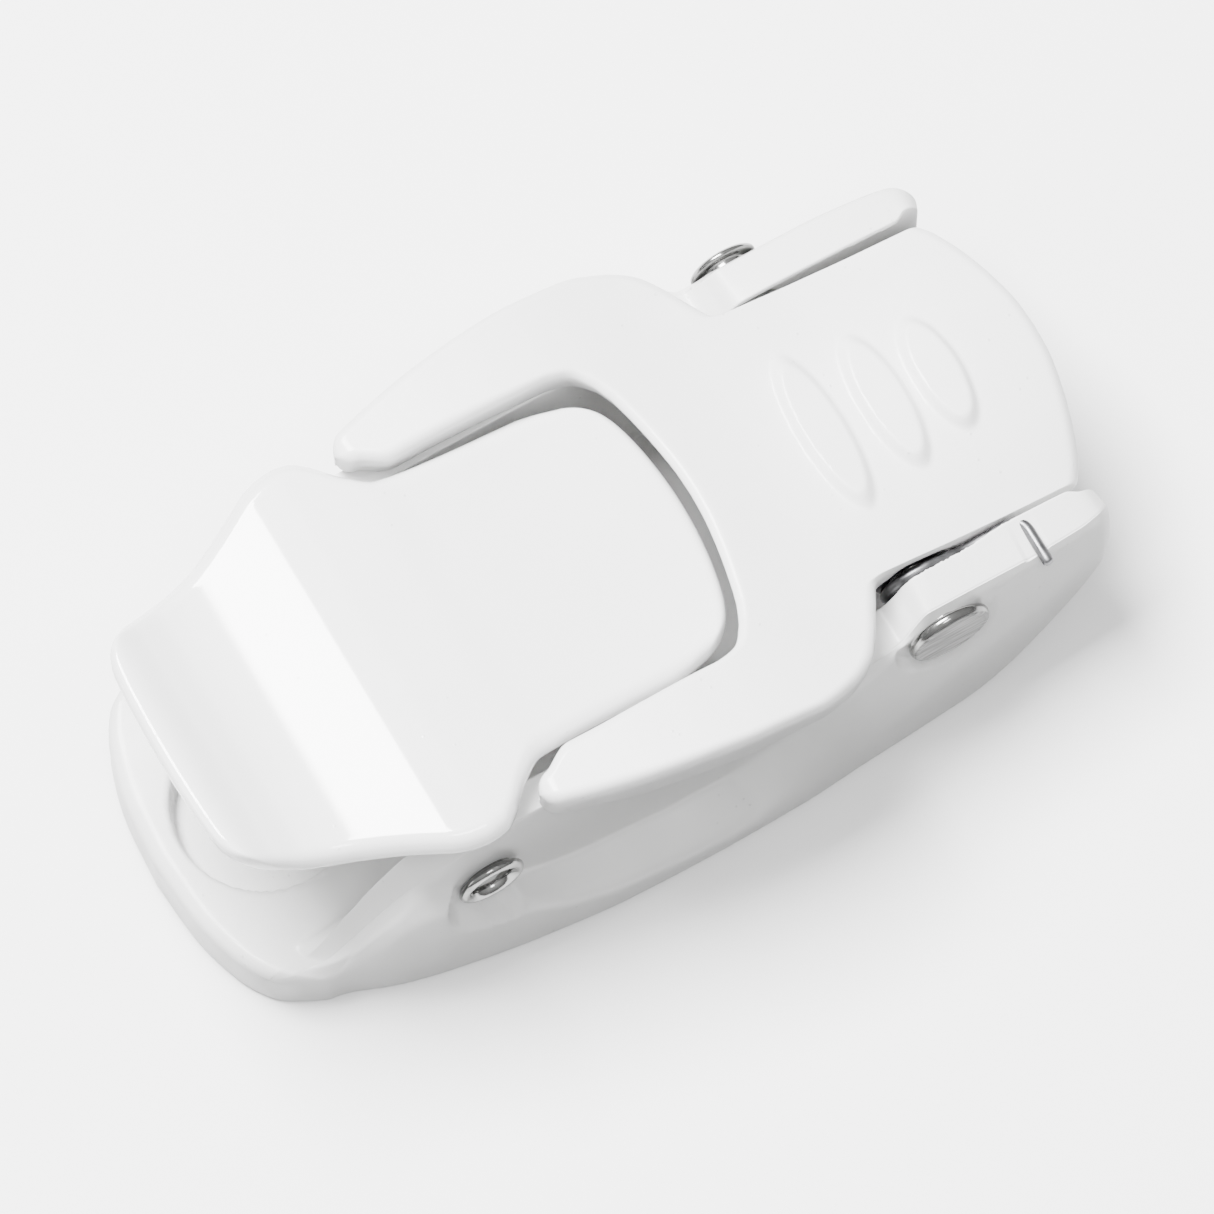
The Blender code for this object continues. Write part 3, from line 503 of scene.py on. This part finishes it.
def fork_grid(sizes):
    """A horseshoe of closed sections, each drawn between a point on the throat's edge and one on
    the outer edge: top face, rounded edges, skirts and a hollow underside. Past each prong's tip
    the sections shrink round a quarter circle."""
    knots = np.arange(len(FORK_STATIONS))
    at = np.linspace(0, knots[-1], 211)
    ix, iy, ox, oy = (through(at, list(zip(knots, FORK_STATIONS[:, k]))) for k in range(4))
    skirt = through(ox, (
        (-17, 5.4), (-13, 5.6), (-8, 6.4), (3, 6.4), (10, 5.2), (19, 4.6), (26, 3.2), (52, 3.0),
    ))
    depth = through(ox, ((-17, 4.6), (-10, 4.2), (0, 2.8), (20, 2.4), (52, 2.2)))
    turn = np.radians(np.linspace(12, 88, 8))
    round_tip = 1.7
    ahead = round_tip * np.sin(turn)
    trim = np.concatenate([np.zeros(len(at)), round_tip * (1 - np.cos(turn))])
    ix = np.concatenate([ix, ix[-1] - ahead])
    iy = np.concatenate([iy, iy[-1] + 0.1 * ahead])
    ox = np.concatenate([ox, ox[-1] - ahead])
    oy = np.concatenate([oy, oy[-1] - 0.3 * ahead])
    skirt, depth = (np.concatenate([v, np.full(len(turn), v[-1])]) for v in (skirt, depth))
    mirror = slice(None, 0, -1)
    ix, ox, skirt, depth, trim = (
        np.concatenate([v[mirror], v])[:, None] for v in (ix, ox, skirt, depth, trim)
    )
    iy, oy = (np.concatenate([-v[mirror], v])[:, None] for v in (iy, oy))
    length = np.hypot(ox - ix, oy - iy)
    radius = sizes.fork_edge / MM
    arc = np.linspace(0, math.pi / 2, 8)[None, :]
    rise_in = radius * (1 - np.cos(arc))
    rise_down = radius * (1 - np.sin(arc))
    inner = np.minimum(2.4, 0.26 * length)
    plain = np.linspace(0, 1, 122)[None, 1:-1]
    across = np.concatenate([
        0 * length + rise_in, radius + plain * (length - 2 * radius), length - rise_in[:, ::-1],
    ], axis=1)
    below = np.concatenate([rise_down, 0 * plain, rise_down[:, ::-1]], axis=1)
    tops = across.shape[1]
    under = np.concatenate([
        0 * length + 0.35, inner * 0.5, inner, inner + 0.5,
        inner + 0.5 + np.linspace(0, 1, tops - 6)[None, 1:-1] * (length - 2 * inner - 1.0),
        length - inner - 0.5, length - inner, length - inner * 0.5, length - 0.35,
    ], axis=1)
    inside = (under > inner + 0.2) & (under < length - inner - 0.2)
    near = under < length / 2
    floor = np.where(inside, depth, np.where(near, np.minimum(skirt, 4.8), skirt))
    floor = floor - 0.35 * ((under < 0.4) | (under > length - 0.4))
    squeeze = (length - 2 * trim) / length
    step_x = (ox - ix) / length
    step_y = (oy - iy) / length

    def points(distance, drop, sign, lift):
        reach = trim + distance * squeeze
        x = ix + step_x * reach
        y = iy + step_y * reach
        z = fork_top(x, y) - drop - sign * trim
        return np.stack([x, y, z + lift * pad_height(x, y, sizes.pad_height / MM)], axis=2)

    upper = points(across, below, 1, 1.0)
    lower = points(under[:, ::-1], floor[:, ::-1], -1, 0.0)
    grid = np.concatenate([upper, lower], axis=1)
    off_axis = lower[..., 0] - MAIN_X
    relief = (lower[..., 1] < COIL_RELIEF_END) & (np.abs(off_axis) < 4.6)
    ceiling = MAIN_Z + np.sqrt(np.clip(COIL_RELIEF_RADIUS ** 2 - off_axis ** 2, 0, None))
    lifted = np.where(relief, np.maximum(lower[..., 2], ceiling), lower[..., 2])
    grid[:, upper.shape[1]:, 2] = lifted
    return grid


def lug_grid(y, width, radius, bore, axis_x, axis_z, top):
    """A ring of closed sections round an axis: its outline is a circle below and a straight-sided
    web above, its bore a circle, with small chamfers between its two faces."""
    angle = np.linspace(0, 2 * math.pi, 128, endpoint=False)
    cos, sin = np.cos(angle), np.sin(angle)
    side = radius / np.maximum(np.abs(cos), 1e-6)
    cap = (top - axis_z) / np.maximum(sin, 1e-6)
    reach = np.where(sin < 0, radius, np.minimum(side, cap))
    low, high = y - width / 2, y + width / 2
    rings = [
        (reach - 0.25, low), (reach, low + 0.25), (reach, high - 0.25), (reach - 0.25, high),
        (reach * 0 + bore + 0.2, high), (reach * 0 + bore, high - 0.2),
        (reach * 0 + bore, low + 0.2), (reach * 0 + bore + 0.2, low),
    ]
    return np.array([
        np.stack([axis_x + far * cos, 0 * cos + place, axis_z + far * sin], axis=1)
        for far, place in rings
    ])


# ---------------------------------------------------------------- thumb lever

def thumb_top(x):
    """Height of the thumb lever's S-curved top face."""
    return through(x, (
        (-49.4, 38.8), (-47.5, 38.3), (-44, 35.9), (-41, 34.2), (-38.6, 33.6), (-37, 33.5),
        (-35.6, 33.53), (-34.6, 33.64), (-29.2, 34.33), (-27.6, 34.42), (-24.5, 34.42),
        (-22.4, 34.25), (-18, 33.6), (-14, 32.6), (-8, 31.5), (0, 30.3), (6.5, 29.5),
        (10.2, 29.0),
    ))


def thumb_width(x):
    """Half width of the thumb lever: a waist near the tip, shoulders, and a plain inner end."""
    return through(x, (
        (-49.4, 14.5), (-47, 14.8), (-45, 15.1), (-43, 15.5), (-41, 15.9), (-39, 16.4),
        (-37, 17.05), (-35, 17.9), (-33, 18.85), (-31.2, 19.8), (-29.6, 20.7), (-28, 21.55),
        (-26, 22.15), (-24.4, 22.3), (-22.6, 22.0), (-21, 20.9), (-18.4, 18.3), (-15.6, 16.6),
        (-10, 16.2), (0, 16.0), (5.0, 15.8), (10.2, 15.0),
    ))


def thumb_bend(nominal, y):
    """X at y of the station that is straight at nominal X, bowing at the tip and inner end."""
    part = np.abs(y) / thumb_width(nominal)
    start = np.clip((-38.0 - nominal) / 11.4, 0.0, 1.0) ** 2
    ratio = np.abs(y) / 14.0
    finish = np.clip(nominal / 10.2, 0.0, 1.0)
    return nominal + start * (0.9 * part ** 2 + 3.8 * part ** 10) - finish * (
        2.4 * ratio ** 2 + 1.4 * ratio ** 10
    )


def thumb_grid(sizes):
    """Closed sections across the lever along its S curve: a plain top, full round edges and a
    rimmed underside. Both end rows shrink towards the middle of the plate's thickness."""
    edge = 1.3
    middle = 1.65
    turn = np.linspace(0.0, math.pi / 2, 9)[:-1]
    lead = edge * (1 - np.cos(turn))
    nominal = np.concatenate([-49.4 + lead, np.arange(-47.9, 8.8, 0.3), 10.2 - lead[::-1]])[:, None]
    fall = edge * (1 - np.sin(turn))
    trim = np.concatenate([fall, np.zeros(len(nominal) - 2 * len(turn)), fall[::-1]])[:, None]
    half = thumb_width(nominal) - trim
    radius = sizes.thumb_edge / MM
    arc = np.linspace(0, math.pi / 2, 9)[None, :]
    rise_in = radius * (1 - np.cos(arc))
    rise_down = radius * (1 - np.sin(arc))
    plain = np.linspace(0, 1, 82)[None, 1:-1]
    across = np.concatenate([
        0 * half + rise_in, radius + plain * 2 * (half - radius),
        2 * half - rise_in[:, ::-1],
    ], axis=1) - half
    below = np.concatenate([rise_down, 0 * plain, rise_down[:, ::-1]], axis=1)
    tops = across.shape[1]
    rim = np.array([0.15, 0.45, 0.95, 1.8, 2.5, 3.1])[None, :]
    drop = np.array([2.35, 2.9, 3.25, 3.3, 3.1, 2.5])[None, :]
    spread = np.linspace(0, 1, tops - 10)[None, 1:-1]
    under = np.concatenate(
        [rim + 0 * half, 3.1 + spread * (2 * half - 6.2), 2 * half - rim[:, ::-1]], axis=1
    ) - half
    depth = np.concatenate([drop, 0 * spread + 2.4, drop[:, ::-1]], axis=1)

    def points(y, fall):
        x = thumb_bend(nominal, y)
        z = thumb_top(x) - middle - (fall - middle) * (1 - trim / middle)
        return np.stack([x, y + 0 * x, z], axis=2)

    return np.concatenate(
        [points(across, below), points(under[:, ::-1], depth[:, ::-1])], axis=1
    )


# ---------------------------------------------------------------- springs

def coil(centre, radius, start, turns, pitch, axis, steps=28):
    """A helix: a circle of the radius about the axis, moved on by the pitch at each turn."""
    t = np.linspace(0, turns, int(turns * steps) + 1)
    angle = start + 2 * math.pi * t
    flat = np.stack([radius * np.cos(angle), radius * np.sin(angle), pitch * t], axis=1)
    order = [0, 2, 1] if axis == "Y" else [0, 1, 2]
    return np.array(centre, float) + flat[:, order]


def main_spring_path():
    """Leg over the near ear, bend, coil round the pivot, and a leg up under the finger end."""
    top = MAIN_Z + 3.6
    leg = rounded_line([
        (39.3, -22.3, top), (39.3, -20.4, top), (39.3, -18.65, top), (39.2, -17.85, top - 0.05),
        (38.7, -17.1, top - 0.3), (37.9, -16.73, top - 0.7), (36.8, -16.65, top - 1.1),
        (33.5, -16.65, top - 1.3), (30.4, -16.65, top - 0.55), (MAIN_X + 0.9, -16.65, top - 0.03),
    ], 5)
    turns = coil((MAIN_X, -16.65, MAIN_Z), 3.6, math.pi / 2, 3.5, 1.35, "Y")
    end_y = turns[-1, 1]
    tail = rounded_line([
        (MAIN_X + 0.7, end_y, 17.7), (30.2, end_y, 17.72), (31.4, end_y, 17.9), (40.5, end_y, 20.5),
    ], 5)
    return np.concatenate([leg, turns[1:], tail])


def thumb_spring_path(side):
    """A close coil with a straight hook from its middle at each end."""
    x, y = 0.6, side * 11.2
    start = 11.5
    end = start + 8.8
    turns = coil((x, y, start), 2.6, 0.0, 8, 1.1, "Z", 22)
    lower = rounded_line([
        (x, y, 6.7), (x, y, 10.0), (x + 0.9, y, 11.2), (x + 2.4, y - 0.05, 11.48),
    ], 4)
    upper = rounded_line([
        (x + 2.4, y + 0.05, end + 0.02), (x + 0.9, y, end + 0.3), (x, y, end + 1.5), (x, y, 27.0),
    ], 4)
    return np.concatenate([lower, turns[1:-1], upper])


# ---------------------------------------------------------------- materials

class Nodes:
    """A short way to add and join the nodes of one material."""

    def __init__(self, name):
        self.material = bpy.data.materials.new(name)
        self.material.use_nodes = True
        self.tree = self.material.node_tree
        self.shader = self.tree.nodes["Principled BSDF"]
        self.place = self.tree.nodes.new("ShaderNodeTexCoord").outputs["Object"]

    def add(self, kind, inputs=None, **settings):
        """A node with its settings, and its inputs linked or given a value."""
        node = self.tree.nodes.new(kind)
        for key, value in settings.items():
            setattr(node, key, value)
        for key, value in (inputs or {}).items():
            if isinstance(value, bpy.types.NodeSocket):
                self.tree.links.new(value, node.inputs[key])
            else:
                node.inputs[key].default_value = value
        return node

    def noise(self, scale, detail=2.0, vector=None):
        """Fractal noise from 0 to 1 about 0.5."""
        inputs = {"Vector": vector or self.place, "Scale": scale, "Detail": detail}
        return self.add("ShaderNodeTexNoise", inputs).outputs["Fac"]

    def span(self, value, low, high, to_low, to_high):
        """The value carried in a straight line from low-high to to_low-to_high, held at its ends."""
        inputs = {"Value": value, 1: low, 2: high, 3: to_low, 4: to_high}
        return self.add("ShaderNodeMapRange", inputs).outputs[0]

    def mix(self, factor, first, second):
        """The first colour at factor 0 and the second at 1."""
        node = self.add("ShaderNodeMix", data_type="RGBA")
        pairs = (("Factor", factor), ("A", first), ("B", second))
        sockets = {"Factor": node.inputs[0], "A": node.inputs[6], "B": node.inputs[7]}
        for key, value in pairs:
            if isinstance(value, bpy.types.NodeSocket):
                self.tree.links.new(value, sockets[key])
            else:
                sockets[key].default_value = value
        return node.outputs[2]

    def bump(self, height, strength, distance, before=None):
        """The normal tilted by the slope of height, over an earlier bump if there is one."""
        inputs = {"Height": height, "Strength": strength, "Distance": distance}
        if before:
            inputs["Normal"] = before
        return self.add("ShaderNodeBump", inputs).outputs["Normal"]

    def join(self, socket, target):
        """Links a socket to one of the shader's inputs."""
        self.tree.links.new(socket, self.shader.inputs[target])


def paint_material(name, colour, roughness, peel, coat):
    """White stoved paint: a faint drift of tone, orange peel, and rare fine specks."""
    made = Nodes(name)
    drift = made.noise(70.0, 3.0)
    tint = tuple(c * 0.965 for c in colour[:3]) + (1.0,)
    cells = made.add("ShaderNodeTexVoronoi", {"Vector": made.place, "Scale": 620.0})
    specks = made.span(cells.outputs["Distance"], 0.05, 0.12, 1.0, 0.0)
    rare = made.span(made.noise(130.0, 1.0), 0.56, 0.62, 0.0, 1.0)
    fleck = made.add("ShaderNodeMath", {0: specks, 1: rare}, operation="MULTIPLY").outputs[0]
    base = made.mix(made.span(drift, 0.35, 0.7, 0.0, 1.0), tuple(colour[:3]) + (1.0,), tint)
    dust = tuple(c * 0.8 for c in colour[:3]) + (1.0,)
    made.join(made.mix(fleck, base, dust), "Base Color")
    handled = made.noise(240.0, 3.0)
    made.join(made.span(handled, 0.3, 0.75, roughness * 0.82, roughness * 1.2), "Roughness")
    coarse = made.bump(made.noise(760.0, 2.0), peel, 0.00006)
    fine = made.bump(made.noise(2600.0, 2.0), peel * 0.5, 0.00002, coarse)
    made.join(made.bump(fleck, 0.5, 0.00006, fine), "Normal")
    made.shader.inputs["Coat Weight"].default_value = coat
    made.shader.inputs["Coat Roughness"].default_value = 0.08
    made.shader.inputs["IOR"].default_value = 1.48
    return made.material


def steel_material(name, colour, roughness, stretch, face=None):
    """Bright steel: fine scratches drawn out along one way, cloudy tone and small darker spots. The
    flat of a head, beyond face in Y, is brushed in streaks and rougher than its edge, and it
    carries painted shade: its colour is set well below the edge's."""
    made = Nodes(name)
    drawn = made.add("ShaderNodeMapping", {"Vector": made.place, "Scale": stretch}).outputs[0]
    lines = made.noise(900.0, 4.0, drawn)
    cloud = made.span(made.noise(420.0, 3.0), 0.35, 0.68, 0.0, 1.0)
    dark = tuple(c * 0.55 for c in colour) + (1.0,)
    tone = made.mix(cloud, tuple(colour) + (1.0,), dark)
    shine = made.span(lines, 0.3, 0.7, roughness * 0.7, roughness * 1.4)
    if face is not None:
        split = made.add("ShaderNodeSeparateXYZ", {"Vector": made.place}).outputs["Y"]
        flat = made.span(split, face, face + 0.00012, 1.0, 0.0)
        # Painted shade: the head's flat face gets two tones far below the steel's own colour, and the real
        # brushed streaks pick between them.
        face_shade_light = tuple(c * 0.5 for c in colour) + (1.0,)
        face_shade_dark = tuple(c * 0.16 for c in colour) + (1.0,)
        brushed_face_shade = made.mix(made.span(lines, 0.36, 0.62, 0.0, 1.0), face_shade_light, face_shade_dark)
        tone = made.mix(flat, tone, brushed_face_shade)
        gain = made.add("ShaderNodeMath", {0: flat, 1: 0.25}, operation="MULTIPLY").outputs[0]
        shine = made.add("ShaderNodeMath", {0: shine, 1: gain}, operation="ADD").outputs[0]
    made.join(tone, "Base Color")
    made.join(shine, "Roughness")
    made.join(made.bump(lines, 0.35, 0.00002), "Normal")
    made.shader.inputs["Metallic"].default_value = 1.0
    return made.material


def finish_of(context, name):
    """The named finish, made once from the colours on the panel."""
    found = bpy.data.materials.get(name)
    if found:
        return found
    look = context.scene.latch_finish
    if name == "casting paint":
        return paint_material(name, look.casting_colour, 0.4, 0.5, 0.15)
    if name == "fork paint":
        return paint_material(name, look.fork_colour, 0.34, 0.3, 0.25)
    if name == "thumb enamel":
        return paint_material(name, look.thumb_colour, 0.13, 0.12, 0.8)
    if name == "rivet steel":
        return steel_material(name, look.steel_colour, 0.16, (0.25, 1.0, 3.0), -0.02328)
    if name == "spring steel":
        return steel_material(name, look.spring_colour, 0.34, (1.0, 1.0, 1.0))
    raise ValueError(f"no finish is named {name}")


# ---------------------------------------------------------------- panel settings

class LatchSizes(bpy.types.PropertyGroup):
    recess_radius: bpy.props.FloatProperty(
        name="Recess radius", description="Radius of the round recess in the tongue",
        default=0.0093, min=0.006, max=0.012, unit="LENGTH", precision=4,
    )
    recess_depth: bpy.props.FloatProperty(
        name="Recess depth", description="Depth of the round recess in the tongue",
        default=0.0031, min=0.0005, max=0.005, unit="LENGTH", precision=4,
    )
    recess_x: bpy.props.FloatProperty(
        name="Recess place", description="Where the recess lies along the latch",
        default=-0.0386, min=-0.042, max=-0.036, unit="LENGTH", precision=4,
    )
    fork_edge: bpy.props.FloatProperty(
        name="Fork edge radius", description="Rounding of the fork lever's top edges",
        default=0.00115, min=0.0004, max=0.0018, unit="LENGTH", precision=4,
    )
    pad_height: bpy.props.FloatProperty(
        name="Pad height", description="How far the oval finger pads stand up",
        default=0.00105, min=0.0, max=0.0015, unit="LENGTH", precision=4,
    )
    thumb_edge: bpy.props.FloatProperty(
        name="Thumb edge radius", description="Rounding of the thumb lever's top edges",
        default=0.0019, min=0.0005, max=0.0021, unit="LENGTH", precision=4,
    )


class LatchFinish(bpy.types.PropertyGroup):
    casting_colour: bpy.props.FloatVectorProperty(
        name="Casting paint", description="Colour of the base casting",
        subtype="COLOR", size=3, default=(0.78, 0.78, 0.775), min=0.0, max=1.0,
    )
    fork_colour: bpy.props.FloatVectorProperty(
        name="Fork paint", description="Colour of the fork lever",
        subtype="COLOR", size=3, default=(0.82, 0.82, 0.82), min=0.0, max=1.0,
    )
    thumb_colour: bpy.props.FloatVectorProperty(
        name="Thumb enamel", description="Colour of the thumb lever",
        subtype="COLOR", size=3, default=(0.84, 0.84, 0.84), min=0.0, max=1.0,
    )
    steel_colour: bpy.props.FloatVectorProperty(
        name="Rivet steel", description="Colour of the rivets, sleeve and washers",
        subtype="COLOR", size=3, default=(0.3, 0.3, 0.295), min=0.0, max=1.0,
    )
    spring_colour: bpy.props.FloatVectorProperty(
        name="Spring steel", description="Colour of the springs",
        subtype="COLOR", size=3, default=(0.16, 0.16, 0.165), min=0.0, max=1.0,
    )


# ---------------------------------------------------------------- operators

class LATCH_OT_base(bpy.types.Operator):
    """Build the boat-shaped base casting"""
    bl_idname = "latch.base"
    bl_label = "Base casting"

    def execute(self, context):
        hull = surface("hull", hull_grid(context.scene.latch_sizes), ladder_ends=True)
        pegs = []
        for side in (-1, 1):
            profile = np.array([
                (0.0, 2.0), (1.7, 2.0), (1.7, 4.0), (1.7, 6.2), (1.5, 6.45), (1.2, 6.5), (0.0, 6.5),
            ])
            angle = np.linspace(0, 2 * math.pi, 40, endpoint=False)[None, :]
            radius = np.maximum(profile[:, :1], 0.01)
            grid = np.stack([
                0.6 + radius * np.cos(angle), side * 11.2 + radius * np.sin(angle),
                profile[:, 1:] + 0 * angle,
            ], axis=2)
            pegs.append(surface("peg", grid, rims=True))
        finish_piece(
            "base_casting_surface", [hull, *pegs], finish_of(context, "casting paint"),
            "root", ["base_casting"],
        )
        return {"FINISHED"}


class LATCH_OT_fork(bpy.types.Operator):
    """Build the forked lever with its finger pads and hinge lugs"""
    bl_idname = "latch.fork"
    bl_label = "Fork lever"

    def execute(self, context):
        plate = surface("plate", fork_grid(context.scene.latch_sizes), ladder_ends=True)
        lugs = [
            surface("lug", lug_grid(y, 2.8, 3.9, 2.9, MAIN_X, MAIN_Z, 25.2), wrap_rows=True)
            for y in (-9.8, 14.3)
        ]
        finish_piece(
            "fork_lever_surface", [plate, *lugs], finish_of(context, "fork paint"),
            "fork", ["fork_lever"],
        )
        return {"FINISHED"}


class LATCH_OT_thumb(bpy.types.Operator):
    """Build the S-curved thumb lever with its hinge lugs"""
    bl_idname = "latch.thumb"
    bl_label = "Thumb lever"

    def execute(self, context):
        plate = surface("plate", thumb_grid(context.scene.latch_sizes), ladder_ends=True)
        lugs = [
            surface("lug", lug_grid(y, 3.0, 4.6, 2.8, THUMB_X, THUMB_Z, 32.4), wrap_rows=True)
            for y in (-14.3, 14.3)
        ]
        finish_piece(
            "thumb_lever_surface", [plate, *lugs], finish_of(context, "thumb enamel"),
            "thumb", ["thumb_lever"],
        )
        return {"FINISHED"}


class LATCH_OT_rivets(bpy.types.Operator):
    """Build the two rivets that the levers turn on"""
    bl_idname = "latch.rivets"
    bl_label = "Rivets"

    def execute(self, context):
        steel = finish_of(context, "rivet steel")
        main = softened([
            (0, 22.9), (2.5, 22.9), (3.35, 22.78), (3.72, 22.48), (3.68, 22.1), (2.38, 22.1),
            (2.38, -22.1), (4.25, -22.1), (4.53, -22.45), (4.53, -22.85), (4.3, -23.3),
            (3.95, -23.4), (3.75, -23.33), (0, -23.33),
        ], 0.3, 4)
        finish_piece(
            "main_rivet_surface", [turned("rivet", main, MAIN_X, MAIN_Z, 128)], steel,
            "root", ["main_pivot_rivet"],
        )
        thumb = softened([
            (0, 22.3), (2.0, 22.15), (3.4, 21.6), (3.9, 21.0), (3.8, 20.75), (2.7, 20.75),
            (2.7, -20.75), (3.35, -20.8), (3.68, -21.1), (3.62, -21.55), (3.2, -21.83),
            (2.75, -21.75), (2.35, -21.3), (2.25, -20.4), (2.25, -13.75), (0, -13.0),
        ], 0.35, 4)
        finish_piece(
            "thumb_rivet_surface", [turned("rivet", thumb, THUMB_X, THUMB_Z, 112)], steel,
            "root", ["thumb_pivot_rivet"],
        )
        return {"FINISHED"}


class LATCH_OT_rings(bpy.types.Operator):
    """Build the pivot sleeve and the washers"""
    bl_idname = "latch.rings"
    bl_label = "Sleeve and washers"

    def execute(self, context):
        steel = finish_of(context, "rivet steel")
        rings = (
            ("pivot_sleeve", 2.8, 2.48, -16.9, 16.9, MAIN_X, MAIN_Z),
            ("pivot_washer", 3.4, 2.9, 16.1, 17.0, MAIN_X, MAIN_Z),
            ("thumb_washer_near", 3.9, 2.8, -16.3, -15.9, THUMB_X, THUMB_Z),
            ("thumb_washer_far", 3.9, 2.8, 15.9, 16.3, THUMB_X, THUMB_Z),
        )
        for name, outer, inner, low, high, x, z in rings:
            edge = 0.08
            profile = [
                (outer - edge, high), (outer, high - edge), (outer, low + edge),
                (outer - edge, low), (inner + edge, low), (inner, low + edge),
                (inner, high - edge), (inner + edge, high),
            ]
            finish_piece(
                f"{name}_surface", [turned(name, profile, x, z)], steel,
                "root", [name],
            )
        return {"FINISHED"}


class LATCH_OT_springs(bpy.types.Operator):
    """Build the torsion spring and the two thumb lever springs"""
    bl_idname = "latch.springs"
    bl_label = "Springs"

    def execute(self, context):
        steel = finish_of(context, "spring steel")
        finish_piece(
            "main_spring_surface", [tube("spring", main_spring_path(), 0.6, 16)], steel,
            "root", ["main_torsion_spring"],
        )
        for side, name in ((-1, "near"), (1, "far")):
            finish_piece(
                f"thumb_spring_{name}_surface", [tube("spring", thumb_spring_path(side), 0.4, 12)],
                steel, "root", [f"thumb_spring_{name}"],
            )
        return {"FINISHED"}


class LATCH_OT_stage(bpy.types.Operator):
    """Set the floor, the lights and the camera"""
    bl_idname = "latch.stage"
    bl_label = "Stage"

    def light_world(self, scene):
        """A soft white room: bright overhead, dimmer towards and below the horizon."""
        world = bpy.data.worlds.new("studio")
        world.use_nodes = True
        nodes, links = world.node_tree.nodes, world.node_tree.links
        place = nodes.new("ShaderNodeTexCoord")
        split = nodes.new("ShaderNodeSeparateXYZ")
        strength = nodes.new("ShaderNodeMapRange")
        strength.inputs[1].default_value = -0.15
        strength.inputs[2].default_value = 1.0
        strength.inputs[3].default_value = 0.05
        strength.inputs[4].default_value = 1.5
        links.new(place.outputs["Generated"], split.inputs[0])
        links.new(split.outputs["Z"], strength.inputs[0])
        links.new(strength.outputs[0], nodes["Background"].inputs["Strength"])
        nodes["Background"].inputs["Color"].default_value = (1.0, 1.0, 1.0, 1.0)
        scene.world = world

    def execute(self, context):
        scene = context.scene
        size = 3.0
        grid = np.array([
            [(-size, -size, 0), (-size, size, 0)], [(size, -size, 0), (size, size, 0)],
        ]) / MM
        floor_mesh = surface("floor", grid, wrap_columns=False)
        floor_mesh.flip_normals()
        floor = bpy.data.objects.new("floor", floor_mesh)
        floor.location.z = -0.00002
        paper = Nodes("studio paper")
        paper.join(paper.mix(paper.noise(3.0), (0.93, 0.93, 0.93, 1), (0.95, 0.95, 0.95, 1)), "Base Color")
        paper.shader.inputs["Roughness"].default_value = 0.9
        paper.shader.inputs["Specular IOR Level"].default_value = 0.1
        floor_mesh.materials.append(paper.material)
        scene.collection.objects.link(floor)
        floor.visible_diffuse = False
        self.light_world(scene)
        lights = (
            ("key", (-0.17, 0.34, 0.92), (0.46, 0.50), 52.0),
            ("front", (0.0, -0.3, 1.0), (0.3, 0.2), 4.0),
            ("tip side", (-1.1, 0.1, 0.22), (0.7, 0.35), 7.0),
        )
        for name, place, spread, power in lights:
            lamp = bpy.data.lights.new(name, "AREA")
            lamp.shape = "RECTANGLE"
            lamp.size, lamp.size_y = spread
            lamp.energy = power
            light = bpy.data.objects.new(name, lamp)
            away = (Vector(place) - Vector((0, 0, 0.02))).normalized()
            side = (Vector((1, 0, 0)) - away * away.x).normalized()
            turn = Matrix((side, away.cross(side), away)).transposed().to_4x4()
            light.matrix_world = Matrix.Translation(place) @ turn
            scene.collection.objects.link(light)
        azimuth, elevation = math.radians(-30.0), math.radians(71.0)
        back = Vector((
            math.sin(azimuth) * math.cos(elevation), -math.cos(azimuth) * math.cos(elevation),
            math.sin(elevation),
        ))
        right = Vector((math.cos(azimuth), math.sin(azimuth), 0))
        upward = back.cross(right)
        target = (right * 1.17 + upward * 3.9 + back * 20.0) * MM
        distance = 1.3
        lens = bpy.data.cameras.new("camera")
        lens.sensor_width = 36.0
        lens.lens = 36.0 * distance / 0.1214
        lens.clip_start = 0.05
        lens.clip_end = 20.0
        camera = bpy.data.objects.new("camera", lens)
        turn = Matrix((right, upward, back)).transposed().to_4x4()
        camera.matrix_world = Matrix.Translation(target + back * distance) @ turn
        scene.collection.objects.link(camera)
        scene.camera = camera
        return {"FINISHED"}


class LATCH_PT_panel(bpy.types.Panel):
    """Sizes, colours and pieces of the latch"""
    bl_idname = "LATCH_PT_panel"
    bl_label = "Stair gate latch"
    bl_space_type = "VIEW_3D"
    bl_region_type = "UI"
    bl_category = "Latch"

    def draw(self, context):
        layout = self.layout
        for group in (context.scene.latch_sizes, context.scene.latch_finish):
            box = layout.box()
            for name in group.__annotations__:
                box.prop(group, name)
        for operator in OPERATORS:
            layout.operator(operator.bl_idname)


OPERATORS = (
    LATCH_OT_base, LATCH_OT_fork, LATCH_OT_thumb, LATCH_OT_rivets, LATCH_OT_rings,
    LATCH_OT_springs, LATCH_OT_stage,
)
CLASSES = (LatchSizes, LatchFinish, *OPERATORS, LATCH_PT_panel)


def register():
    for cls in CLASSES:
        bpy.utils.register_class(cls)
    bpy.types.Scene.latch_sizes = bpy.props.PointerProperty(type=LatchSizes)
    bpy.types.Scene.latch_finish = bpy.props.PointerProperty(type=LatchFinish)


def unregister():
    del bpy.types.Scene.latch_finish
    del bpy.types.Scene.latch_sizes
    for cls in reversed(CLASSES):
        bpy.utils.unregister_class(cls)


def main():
    """Registers the add-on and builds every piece."""
    register()
    for operator in OPERATORS:
        getattr(bpy.ops.latch, operator.bl_idname.split(".")[1])()
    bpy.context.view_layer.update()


if __name__ == "__main__":
    main()
